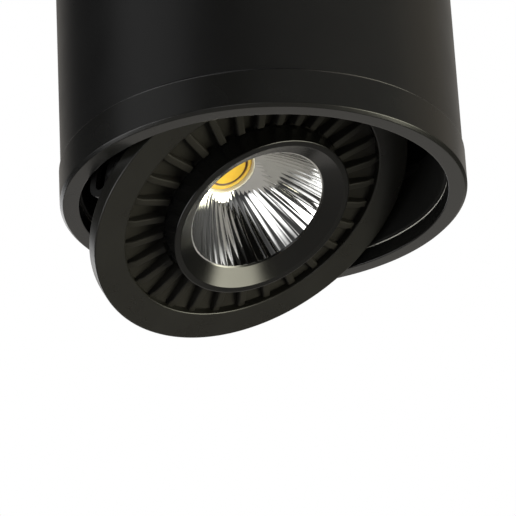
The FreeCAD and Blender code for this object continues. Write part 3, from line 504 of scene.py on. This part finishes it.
class OBJECT_OT_spotlight_housing(bpy.types.Operator):
    """Make the drawn tube and the turned collar with their rounded edges"""
    bl_idname = "object.spotlight_housing"
    bl_label = "Tube and collar"

    def execute(self, context):
        edge = context.scene.spotlight_shape.edge_round
        paint = context.scene.spotlight_finish.paint
        tube = lathe(bmesh.new(), rounded([
            (TUBE_RADIUS, SEAM_Z), (TUBE_RADIUS, TUBE_TOP_Z),
            (TUBE_BORE, TUBE_TOP_Z), (TUBE_BORE, SEAM_Z)], edge), TURNED_SEGMENTS)
        dress(place(tube, "drawn_tube"), powder_coat(paint), "housing", "powder_coat",
              "housing_tube")
        chamfer = 0.9 * MM
        face = rounded([
            (LIP_BORE, LIP_Z), (LIP_BORE, RIM_Z),
            (COLLAR_RADIUS - chamfer, RIM_Z), (COLLAR_RADIUS, RIM_Z + chamfer),
            (COLLAR_RADIUS, SEAM_Z), (SPIGOT_RADIUS, SEAM_Z)], edge)
        last_corner = ROUND_STEPS + 1
        outline = face[:-last_corner] + [
            (SPIGOT_RADIUS, SEAM_Z), (SPIGOT_RADIUS, SPIGOT_TOP), (COLLAR_BORE, SPIGOT_TOP),
            (COLLAR_BORE, CIRCLIP_TOP), (GROOVE_RADIUS, CIRCLIP_TOP), (GROOVE_RADIUS, CIRCLIP_Z),
            (COLLAR_BORE, CIRCLIP_Z), (COLLAR_BORE, LIP_Z)]
        collar = lathe(bmesh.new(), outline, TURNED_SEGMENTS)
        dress(place(collar, "turned_collar"), turned_black(), "housing", "satin_black", "collar")
        coat_nodes(spring_steel(), "circlip", "stop_pin")
        nylon = white_plastic("moulded_nylon", "#e6e3da", "#d9d6cc")
        coat_nodes(nylon, "glide_washer", "friction_ring")
        return {"FINISHED"}


class OBJECT_OT_spotlight_ceiling(bpy.types.Operator):
    """Finish the ceiling plate, the cable grommet, the driver and the terminal block"""
    bl_idname = "object.spotlight_ceiling"
    bl_label = "Ceiling plate and driver"

    def execute(self, context):
        edge = context.scene.spotlight_shape.sheet_round
        plate = eased("stamped_plate", "ceiling_plate", edge)
        dress(plate, zinc_steel(), "housing", "zinc_steel", "ceiling_plate")
        shell = white_plastic("moulded_polycarbonate", "#efeeea", "#e3e2de")
        shell_edge = 2 * edge
        for name, node in (("driver_shell", "driver_case"), ("driver_cover", "driver_lid")):
            dress(eased(name, node, shell_edge), shell, "housing", "driver_plastic", node)
        strip = eased("terminal_strip", "terminal_block", edge)
        dress(strip, white_plastic("moulded_polyamide", "#e9e7dd", "#dcdacf"), "housing",
              "terminal_plastic", "terminal_block")
        grommet = self.grommet(*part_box("cable_grommet"))
        dress(grommet, black_rubber(), "housing", "black_rubber", "cable_grommet")
        return {"FINISHED"}

    def grommet(self, low, high):
        """The cable grommet between two corners of its box: bore, flange below and neck above."""
        bore = 4.0 * MM
        neck = 6.9 * MM
        flange = (high.x - low.x) / 2.0
        flange_top = low.z + 2.0 * MM
        soft_edge = 0.9 * MM
        middle = (low + high) / 2.0
        bm = lathe(bmesh.new(), rounded([
            (bore, low.z), (flange, low.z), (flange, flange_top), (neck, flange_top),
            (neck, high.z), (bore, high.z)], soft_edge), GROMMET_SEGMENTS)
        return place(bm, "rubber_grommet", Matrix.Translation((middle.x, middle.y, 0)))


# ---- swivel ----

class OBJECT_OT_spotlight_swivel(bpy.types.Operator):
    """Make the turning ring with its shelves and stop, and finish the hinge"""
    bl_idname = "object.spotlight_swivel"
    bl_label = "Turning ring and hinge"

    def execute(self, context):
        shape = context.scene.spotlight_shape
        bm = lathe(bmesh.new(), rounded([
            (RING_BORE, RING_Z), (RING_RADIUS, RING_Z), (RING_RADIUS, RING_FLANGE_TOP),
            (RING_WALL_RADIUS, RING_FLANGE_TOP), (RING_WALL_RADIUS, RING_TOP),
            (RING_BORE, RING_TOP)], shape.edge_round), TURNED_SEGMENTS)
        self.add_shelves(bm)
        self.add_stop(bm)
        dress(place(bm, "turned_swivel_ring"), blasted_black(), "swivel", "satin_black",
              "turning_ring")
        steel = black_steel()
        for side in ("right", "left"):
            dress(eased("bent_bracket_" + side, "hinge_bracket_" + side, shape.sheet_round),
                  steel, "swivel", "black_steel", "hinge_bracket_" + side)
            dress(eased("slotted_sector_" + side, "sector_plate_" + side, shape.sheet_round),
                  steel, "head", "black_steel", "sector_plate_" + side)
        dress(eased("shoulder_pins", "hinge_pins", shape.sheet_round), zinc_steel(), "swivel",
              "screw_steel", "hinge_pins")
        nylon = white_plastic("moulded_nylon_washers", "#e6e3da", "#d9d6cc")
        coat_nodes(nylon, "friction_washers")
        return {"FINISHED"}

    def add_shelves(self, bm):
        """The two flat segments inside the ring's top that carry the brackets."""
        rooted = 0.5 * MM
        reach = RING_BORE + rooted
        half_angle = math.acos(SHELF_Y / reach)
        steps = 24
        outline = []
        for step in range(steps + 1):
            angle = half_angle * (2.0 * step / steps - 1.0)
            outline.append((reach * math.sin(angle), reach * math.cos(angle)))
        for side in (1, -1):
            prism(bm, [(x, side * y) for x, y in outline], SHELF_Z, RING_TOP, axis="Z")

    def add_stop(self, bm):
        """The tab that meets the collar's pin at both ends of the turn."""
        rooted = 0.5 * MM
        gap = 0.5 * MM
        low = RING_TOP - 4.0 * MM
        high = low + 2.0 * MM
        half_width = 1.5 * MM
        edge = 0.25 * MM
        outline = box_outline(RING_WALL_RADIUS - rooted, COLLAR_BORE - gap, low, high)
        prism(bm, outline, -half_width, half_width, bevel=edge)


# ---- head ----

class OBJECT_OT_spotlight_heat_sink(bpy.types.Operator):
    """Cast the heat sink: flange, cup, web and a ring of fins with rounded edges"""
    bl_idname = "object.spotlight_heat_sink"
    bl_label = "Finned heat sink"

    def execute(self, context):
        shape = context.scene.spotlight_shape
        bm = bmesh.new()
        back = front(FLANGE_THICKNESS)
        flange_round = 0.6 * MM
        lathe(bm, rounded([
            (FLANGE_BORE, front(0)), (FLANGE_RADIUS, front(0)), (FLANGE_RADIUS, back),
            (FLANGE_BORE, back)], flange_round), TURNED_SEGMENTS)
        turned = len(bm.faces)
        floor = front(CUP_DEPTH + CUP_FLOOR)
        hub = rounded([
            (CUP_RADIUS, front(HUB_RECESS)), (HUB_RADIUS, front(HUB_RECESS)), (HUB_RADIUS, floor),
            (CORE_RADIUS, floor + CUP_FLOOR), (CORE_RADIUS, front(SINK_DEPTH))], shape.fin_round)
        corner = ROUND_STEPS + 1
        lathe(bm, [(CUP_RADIUS, front(HUB_RECESS))] + hub[corner:-corner] + [
            (CORE_RADIUS, front(SINK_DEPTH)), (0.0, front(SINK_DEPTH)), (0.0, front(CUP_DEPTH)),
            (CUP_RADIUS, front(CUP_DEPTH))], CAST_SEGMENTS)
        self.add_web(bm)
        step = 2 * math.pi / FIN_COUNT
        turns = [Matrix.Rotation((number + 0.5) * step, 4, "Z") for number in range(FIN_COUNT)]
        repeated(bm, self.fin(shape.fin_round), turns)
        # Faces past the turned flange take the raw skin, whose lighter shade is painted fill light
        # for the fins.
        for number, face in enumerate(bm.faces):
            face.material_index = 0 if number < turned else 1
        finish = context.scene.spotlight_finish
        piece = place(bm, "cast_heat_sink", HEAD_PLACE)
        dress(piece, turned_casting(finish.casting), "head", "head_black", "heat_sink")
        piece.data.materials.append(raw_casting_with_painted_fill(finish.casting_skin_and_painted_fill))
        coat_nodes(black_rubber(), "lead_gland")
        return {"FINISHED"}

    def add_web(self, bm):
        """The wall that closes the gaps between the fins, deeper at the cup than at the flange."""
        thickness = 1.5 * MM
        depth_at_cup = 4.0 * MM
        depth_at_flange = 2.4 * MM
        rooted = 1.0 * MM
        outside = FLANGE_BORE + rooted
        inside = HUB_RADIUS - rooted
        lathe(bm, [
            (inside, front(depth_at_cup)), (outside, front(depth_at_flange)),
            (outside, front(depth_at_flange + thickness)),
            (inside, front(depth_at_cup + thickness))], CAST_SEGMENTS)

    def fin(self, radius):
        """One fin along +X, stepped back before the flange and narrower towards its rear."""
        root = 1.0 * MM
        inner = BEZEL_RADIUS + 0.4 * MM
        recess = 0.6 * MM
        step = 1.2 * MM
        shoulder = FLANGE_BORE
        nose = shoulder - 2.6 * MM
        nose_slope = 1.6 * MM
        shoulder_end = 9.0 * MM
        waist = shoulder - 5.5 * MM
        waist_depth = 17.0 * MM
        tail = waist - 2.0 * MM
        tail_corner = 1.4 * MM
        hub_front = front(HUB_RECESS) + root
        rear = front(SINK_DEPTH)
        foot = front(CUP_DEPTH + CUP_FLOOR / 2.0)
        outline = [
            (HUB_RADIUS - root, hub_front), (inner, hub_front), (inner, front(recess)),
            (nose, front(recess)), (nose + nose_slope, front(step)),
            (shoulder + root, front(step)), (shoulder + root, front(FLANGE_THICKNESS)),
            (shoulder, front(FLANGE_THICKNESS)), (shoulder, front(shoulder_end)),
            (waist, front(waist_depth)), (tail, rear - tail_corner), (tail - tail_corner, rear),
            (CORE_RADIUS - root, rear), (CORE_RADIUS - root, foot), (HUB_RADIUS - root, foot)]
        return prism(bmesh.new(), outline, -FIN_THICKNESS / 2.0, FIN_THICKNESS / 2.0, bevel=radius)


class OBJECT_OT_spotlight_bezel(bpy.types.Operator):
    """Turn the bezel with its rounded lip and conical throat"""
    bl_idname = "object.spotlight_bezel"
    bl_label = "Bezel"

    def execute(self, context):
        seat = front(HUB_RECESS)
        lip = front(-BEZEL_PROUD)
        throat = front(-THROAT_PROUD)
        lip_width = 2.0 * MM
        lip_round = 0.5 * MM
        lip_steps = 6
        spigot = CUP_RADIUS - FIT
        tail = seat + 4.5 * MM
        bore = spigot - 2.0 * MM
        outline = rounded([
            (THROAT_RADIUS, throat), (BEZEL_RADIUS - lip_width, lip), (BEZEL_RADIUS, lip),
            (BEZEL_RADIUS, seat)], lip_round, lip_steps)
        corner = lip_steps + 1
        bm = lathe(bmesh.new(), [(THROAT_RADIUS, throat)] + outline[corner:-corner] + [
            (BEZEL_RADIUS, seat), (spigot, seat), (spigot, tail), (bore, tail),
            (bore, throat + BEZEL_LAND), (THROAT_RADIUS, throat + BEZEL_LAND)], TURNED_SEGMENTS)
        bezel = place(bm, "lacquered_bezel", HEAD_PLACE)
        dress(bezel, gloss_black(), "head", "head_black", "bezel")
        return {"FINISHED"}


class OBJECT_OT_spotlight_reflector(bpy.types.Operator):
    """Mould the fluted reflector"""
    bl_idname = "object.spotlight_reflector"
    bl_label = "Fluted reflector"

    def execute(self, context):
        shape = context.scene.spotlight_shape
        mouth = front(-THROAT_PROUD + BEZEL_LAND)
        small_end = front(HOLDER_DEPTH - FIT)
        wide = THROAT_RADIUS - 0.4 * MM
        narrow = 8.3 * MM
        curve = 0.72
        wall = 0.8 * MM
        lip_radius = wide + 1.6 * MM
        lip_back = mouth + 0.6 * MM
        stations = 20
        across = 6
        count = shape.flute_count * across

        def ring(radius, height, bulge):
            points = []
            for number in range(count):
                angle = 2 * math.pi * number / count
                share = (number % across) / across
                reach = radius - bulge * (1.0 - (2.0 * share - 1.0) ** 2)
                points.append((reach * math.cos(angle), reach * math.sin(angle), height))
            return points

        inside = []
        for number in range(stations + 1):
            share = number / stations
            radius = narrow + (wide - narrow) * share ** curve
            height = small_end + (mouth - small_end) * share
            inside.append((radius, height))
        rings = [ring(radius, height, shape.flute_bulge * radius / wide)
                 for radius, height in inside]
        rings.append(ring(lip_radius, mouth, 0.0))
        rings.append(ring(lip_radius, lip_back, 0.0))
        rings += [ring(radius + wall, height, 0.0)
                  for radius, height in reversed(inside) if height > lip_back]
        bm = bmesh.new()
        made = [[bm.verts.new(point) for point in points] for points in rings]
        made.append(made[0])
        for low, high in zip(made, made[1:]):
            for number in range(count):
                bm.faces.new((low[number - 1], low[number], high[number], high[number - 1]))
        piece = place(bm, "fluted_reflector", HEAD_PLACE)
        dress(piece, metallised_mirror(), "head", "bright_reflector", "reflector")
        return {"FINISHED"}


class OBJECT_OT_spotlight_source(bpy.types.Operator):
    """Make the phosphor disc and its dam, and finish the board, its holder and the pad"""
    bl_idname = "object.spotlight_source"
    bl_label = "Light source"

    def execute(self, context):
        edge = context.scene.spotlight_shape.sheet_round
        top = front(LIGHT_DEPTH)
        back = top + 0.5 * MM
        sag = 0.15 * MM
        rim = EMITTER_RADIUS - 0.7 * MM
        gutter = (rim + 0.15 * MM, top + 0.3 * MM)
        gel = [(0.0, top + sag), (0.6 * EMITTER_RADIUS, top + 0.8 * sag), (rim, top + 0.2 * sag),
               gutter, (EMITTER_RADIUS, top), (EMITTER_RADIUS, back), (0.0, back)]
        bm = lathe(bmesh.new(), gel, CAST_SEGMENTS)
        # Faces past the gel's rim, down into the gutter by the dam, take the deep amber: painted
        # shade.
        for face in bm.faces:
            if face.calc_center_median().xy.length > rim:
                face.material_index = 1
        disc = place(bm, "phosphor_disc", HEAD_PLACE)
        phosphor = yellow_phosphor(context.scene.spotlight_finish.phosphor)
        dress(disc, phosphor, "head", "phosphor", "led_emitter")
        disc.data.materials.append(shaded_gel_edge())
        crest = back - 0.65 * MM
        inner = EMITTER_RADIUS + 0.12 * MM
        bead_round = 0.35 * MM
        bead = rounded([
            (inner, back), (inner, crest), (DAM_RADIUS, crest), (DAM_RADIUS, back)], bead_round)
        dam = place(lathe(bmesh.new(), bead, CAST_SEGMENTS), "silicone_dam", HEAD_PLACE)
        dress(dam, pale_dam(), "head", "dam_silicone", "emitter_dam")
        holder = eased("moulded_holder", "led_holder", edge)
        dress(holder, white_plastic("moulded_pbt", "#e4e2da", "#d8d6cd"), "head", "holder_plastic",
              "led_holder")
        coat_nodes(alumina(), "led_board")
        coat_nodes(silicone_pad(), "thermal_pad")
        return {"FINISHED"}


# ---- screws ----

def screw_angles(arm, reach):
    """Angles round a cross recess, with one at each of its corners and more in between."""
    corner = math.atan2(arm, reach)
    quarter = [0.0, corner, (2 * corner + math.pi / 4) / 3, (corner + math.pi / 2) / 3, math.pi / 4]
    quarter += [math.pi / 2 - angle for angle in reversed(quarter[1:-1])]
    return [turn * math.pi / 2 + angle for turn in range(4) for angle in quarter]


def cross_radius(angle, arm, reach):
    """Distance from the middle to the outline of a cross of two bars."""
    across = abs(math.cos(angle))
    along = abs(math.sin(angle))
    bars = [min(reach / max(first, 1e-9), arm / max(second, 1e-9))
            for first, second in ((across, along), (along, across))]
    return max(bars)


def pan_screw(radius, length, head, height):
    """A pan head screw with a cross recess and a rolled thread; its head hangs below z = 0."""
    arm = 0.13 * head
    reach = 0.55 * head
    angles = screw_angles(arm, reach)

    def circle(size, z):
        return [(size * math.cos(angle), size * math.sin(angle), z) for angle in angles]

    def cross(share, z):
        return [(share * cross_radius(angle, arm, reach) * math.cos(angle),
                 share * cross_radius(angle, arm, reach) * math.sin(angle), z) for angle in angles]

    half_pitch = 0.25 * radius
    point = 0.6 * radius
    valley = 0.84 * radius
    dome = ((0.97, 0.0), (1.0, 0.1), (1.0, 0.5), (0.95, 0.75), (0.84, 0.9), (0.68, 1.0))
    rings = [circle(point, length)]
    for number in range(int(length / half_pitch) - 1, 0, -1):
        rings.append(circle(radius if number % 2 else valley, number * half_pitch))
    rings.append(circle(radius, 0.0))
    rings += [circle(width * head, -depth * height) for width, depth in dome]
    rings += [cross(1.0, -height), cross(0.8, -0.4 * height)]
    return loft(bmesh.new(), rings)


class OBJECT_OT_spotlight_screws(bpy.types.Operator):
    """Drive in the screws with their cross recesses"""
    bl_idname = "object.spotlight_screws"
    bl_label = "Screws"

    def execute(self, context):
        dark = black_oxide()
        bright = zinc_steel()
        upside_down = Matrix.Rotation(math.pi, 4, "Y")
        outwards = Matrix.Rotation(-math.pi / 2, 4, "Y")
        head_radius = HINGE_SCREW[2]

        side_z = -7.0 * MM
        side = [Matrix.Rotation(math.radians(90 + 120 * number), 4, "Z")
                @ Matrix.Translation((TUBE_RADIUS, 0, side_z)) @ outwards for number in range(3)]
        self.drive("side_fixing_screws", SIDE_SCREW, side, dark, "housing", "black_screw",
                   "side_screws")

        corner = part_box("bracket_screws")[1]
        bracket_top = RING_TOP + 1.6 * MM
        bracket = [Matrix.Translation((x, y, bracket_top)) @ upside_down
                   for x, y in self.mirrored(corner.x - head_radius, corner.y - head_radius)]
        self.drive("bracket_fixing_screws", HINGE_SCREW, bracket, dark, "swivel", "black_screw",
                   "bracket_screws")

        along = 10.5 * MM
        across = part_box("sector_screws")[1].y - head_radius
        sector_back = front(FLANGE_THICKNESS) + 1.5 * MM
        sector = [HEAD_PLACE @ Matrix.Translation((x, y, sector_back)) @ upside_down
                  for x, y in self.mirrored(along, across)]
        self.drive("sector_fixing_screws", HINGE_SCREW, sector, dark, "head", "black_screw",
                   "sector_screws")

        out = 15.6 * MM
        holder = [HEAD_PLACE @ Matrix.Translation((x, 0, front(HOLDER_DEPTH))) for x in (-out, out)]
        self.drive("holder_fixing_screws", HOLDER_SCREW, holder, bright, "head", "screw_steel",
                   "holder_screws")

        ear_z = -4.0 * MM
        plate = [Matrix.Translation((sign * x, y, ear_z)) for sign in (-1, 1)
                 for x, y in ((37.25 * MM, -23.0 * MM), (19.25 * MM, 34.0 * MM))]
        self.drive("plate_fixing_screws", PLATE_SCREW, plate, bright, "housing", "screw_steel",
                   "plate_screws")

        earth = [Matrix.Translation((-26.0 * MM, 24.0 * MM, -1.5 * MM))]
        self.drive("earth_terminal_screw", EARTH_SCREW, earth, brass(), "housing", "brass",
                   "earth_screw")
        coat_nodes(bright, "terminal_screws")
        return {"FINISHED"}

    def mirrored(self, x, y):
        """The four places that mirroring a place across both axes gives."""
        return [(along * x, across * y) for along in (-1, 1) for across in (-1, 1)]

    def drive(self, name, sizes, matrices, material, body, slot, node):
        """Copies of one screw, as one piece that stands for a node."""
        bm = repeated(bmesh.new(), pan_screw(*sizes), matrices)
        dress(place(bm, name), material, body, slot, node)


# ---- stage ----

# Soft lights of the studio: name, degrees round from the camera (negative to its left) and
# degrees up, degrees from the middle to where it starts to fade and to where it ends, strength
# and colour.
SOFT_LIGHTS = (
    ("low_left", -76.0, -27.0, 12.0, 26.0, 4.5, "#ffffff"),
    ("low_front", -14.0, -23.0, 4.0, 20.0, 2.4, "#ffffff"),
    ("key_right", 75.0, -25.0, 12.0, 26.0, 12.5, "#fffce4"),
    ("rear_left", -150.0, 2.0, 4.0, 20.0, 2.5, "#ffffff"),
    ("low_back", 174.0, -24.0, 8.0, 34.0, 0.6, "#fffaf2"),
    ("high_left", -62.0, 27.0, 4.0, 30.0, 0.6, "#ffffff"),
    ("high_front", 46.0, 27.0, 20.0, 58.0, 0.25, "#ffffff"),
    ("high_right", 112.0, 27.0, 4.0, 28.0, 0.32, "#fff1dc"),
    ("high_back", 176.0, 27.0, 10.0, 50.0, 0.33, "#fff8ee"),
    ("ceiling_left", -84.0, 58.0, 8.0, 14.0, 2.6, "#ffffff"),
    ("ceiling_front", -40.0, 58.0, 6.0, 14.0, 2.2, "#ffffff"),
    ("ceiling_right", 66.0, 58.0, 8.0, 14.0, 2.2, "#fff4e4"),
    ("ceiling_far", 122.0, 58.0, 8.0, 14.0, 2.6, "#fff4e4"),
)
WHITE = linear("#ffffff")
SENSOR_WIDTH = 36.0
FLOOR_RADIUS = 2.0
FLOOR_Z = -1.8


class SCENE_OT_spotlight_stage(bpy.types.Operator):
    """Set the camera, the soft studio light and the pale floor"""
    bl_idname = "scene.spotlight_stage"
    bl_label = "Stage"

    def execute(self, context):
        stage = context.scene.spotlight_stage
        self.aim_camera(context, stage)
        self.light_room(context, stage)
        self.lay_floor(context)
        context.scene.view_settings.view_transform = "Standard"
        return {"FINISHED"}

    def aim_camera(self, context, stage):
        """Look up at the rim from the photograph's side, with its roll."""
        side = Matrix.Rotation(stage.azimuth, 3, "Z")
        forward = side @ Vector((0, math.cos(stage.elevation), math.sin(stage.elevation)))
        up = side @ Vector((0, -math.sin(stage.elevation), math.cos(stage.elevation)))
        right = side @ Vector((1, 0, 0))
        turn = Matrix.Rotation(stage.roll, 3, forward)
        right = turn @ right
        up = turn @ up
        camera = bpy.data.objects.new("camera", bpy.data.cameras.new("camera"))
        context.scene.collection.objects.link(camera)
        camera.data.lens = stage.lens
        camera.data.sensor_width = SENSOR_WIDTH
        camera.data.clip_start = 0.05
        camera.data.clip_end = 50.0
        rim = Vector((0, 0, RIM_Z))
        eye = rim - right * stage.aim_right - up * stage.aim_up - forward * stage.distance
        facing = Matrix((right, up, -forward)).transposed().to_4x4()
        camera.matrix_world = Matrix.Translation(eye) @ facing
        context.scene.camera = camera

    def light_room(self, context, stage):
        """White to the camera, and for all else a dim room with soft lights in it."""
        world = bpy.data.worlds.new("studio")
        context.scene.world = world
        world.use_nodes = True
        tree = world.node_tree
        tree.nodes.clear()
        direction = add_node(tree, "ShaderNodeTexCoord").outputs["Generated"]
        total = add_node(tree, "ShaderNodeVectorMath", {"operation": "SCALE"}, {
            0: WHITE[:3], "Scale": stage.room_light}).outputs["Vector"]
        towards_camera = stage.azimuth - math.pi / 2.0
        for name, around, up, full, fade, strength, colour in SOFT_LIGHTS:
            azimuth = towards_camera + math.radians(around)
            height = math.radians(up)
            axis = (math.cos(height) * math.cos(azimuth), math.cos(height) * math.sin(azimuth),
                    math.sin(height))
            facing = add_node(tree, "ShaderNodeVectorMath",
                              {"operation": "DOT_PRODUCT", "label": name}, {0: direction, 1: axis})
            glow = add_node(tree, "ShaderNodeMapRange", {"interpolation_type": "SMOOTHSTEP"}, {
                "Value": facing.outputs["Value"], "From Min": math.cos(math.radians(fade)),
                "From Max": math.cos(math.radians(full)), "To Min": 0.0,
                "To Max": strength * stage.soft_light})
            tinted = add_node(tree, "ShaderNodeVectorMath", {"operation": "SCALE"}, {
                0: linear(colour)[:3], "Scale": glow.outputs["Result"]})
            total = add_node(tree, "ShaderNodeVectorMath", {"operation": "ADD"}, {
                0: total, 1: tinted.outputs["Vector"]}).outputs["Vector"]
        room = add_node(tree, "ShaderNodeBackground", inputs={"Color": total, "Strength": 1.0})
        white = add_node(tree, "ShaderNodeBackground", inputs={"Color": WHITE, "Strength": 1.0})
        rays = add_node(tree, "ShaderNodeLightPath")
        mix = add_node(tree, "ShaderNodeMixShader", inputs={
            0: rays.outputs["Is Camera Ray"], 1: room.outputs["Background"],
            2: white.outputs["Background"]})
        add_node(tree, "ShaderNodeOutputWorld", inputs={"Surface": mix.outputs["Shader"]})

    def lay_floor(self, context):
        """A pale matt disc well below the lamp, plain white to the camera."""
        bm = bmesh.new()
        bmesh.ops.create_circle(bm, cap_ends=True, segments=96, radius=FLOOR_RADIUS)
        mesh = bpy.data.meshes.new("floor")
        bm.to_mesh(mesh)
        bm.free()
        mesh.transform(Matrix.Translation((0, 0, FLOOR_Z)))
        floor = bpy.data.objects.new("floor", mesh)
        context.scene.collection.objects.link(floor)
        material = bpy.data.materials.new("painted_floor")
        material.use_nodes = True
        tree = material.node_tree
        tree.nodes.clear()
        matt = add_node(tree, "ShaderNodeBsdfDiffuse", inputs={"Color": linear("#d8d8d6")})
        white = add_node(tree, "ShaderNodeEmission", inputs={"Color": WHITE, "Strength": 1.0})
        rays = add_node(tree, "ShaderNodeLightPath")
        mix = add_node(tree, "ShaderNodeMixShader", inputs={
            0: rays.outputs["Is Camera Ray"], 1: matt.outputs["BSDF"],
            2: white.outputs["Emission"]})
        add_node(tree, "ShaderNodeOutputMaterial", inputs={"Surface": mix.outputs["Shader"]})
        mesh.materials.append(material)


# ---- panel and registration ----

PIECES = (OBJECT_OT_spotlight_housing, OBJECT_OT_spotlight_ceiling, OBJECT_OT_spotlight_swivel,
          OBJECT_OT_spotlight_heat_sink, OBJECT_OT_spotlight_bezel, OBJECT_OT_spotlight_reflector,
          OBJECT_OT_spotlight_source, OBJECT_OT_spotlight_screws, SCENE_OT_spotlight_stage)


class VIEW3D_PT_spotlight(bpy.types.Panel):
    """Buttons that make the pieces one group at a time"""
    bl_idname = "VIEW3D_PT_spotlight"
    bl_label = "Spotlight"
    bl_space_type = "VIEW_3D"
    bl_region_type = "UI"
    bl_category = "Spotlight"

    def draw(self, context):
        for piece in PIECES:
            self.layout.operator(piece.bl_idname)


GROUPS = (SpotlightShape, SpotlightFinish, SpotlightStage)


def register():
    for group in GROUPS + PIECES + (VIEW3D_PT_spotlight,):
        bpy.utils.register_class(group)
    bpy.types.Scene.spotlight_shape = bpy.props.PointerProperty(type=SpotlightShape)
    bpy.types.Scene.spotlight_finish = bpy.props.PointerProperty(type=SpotlightFinish)
    bpy.types.Scene.spotlight_stage = bpy.props.PointerProperty(type=SpotlightStage)


def unregister():
    del bpy.types.Scene.spotlight_stage
    del bpy.types.Scene.spotlight_finish
    del bpy.types.Scene.spotlight_shape
    for group in reversed(GROUPS + PIECES + (VIEW3D_PT_spotlight,)):
        bpy.utils.unregister_class(group)


def main():
    register()
    bpy.ops.object.spotlight_housing()
    bpy.ops.object.spotlight_ceiling()
    bpy.ops.object.spotlight_swivel()
    bpy.ops.object.spotlight_heat_sink()
    bpy.ops.object.spotlight_bezel()
    bpy.ops.object.spotlight_reflector()
    bpy.ops.object.spotlight_source()
    bpy.ops.object.spotlight_screws()
    bpy.ops.scene.spotlight_stage()


if __name__ == "__main__":
    main()
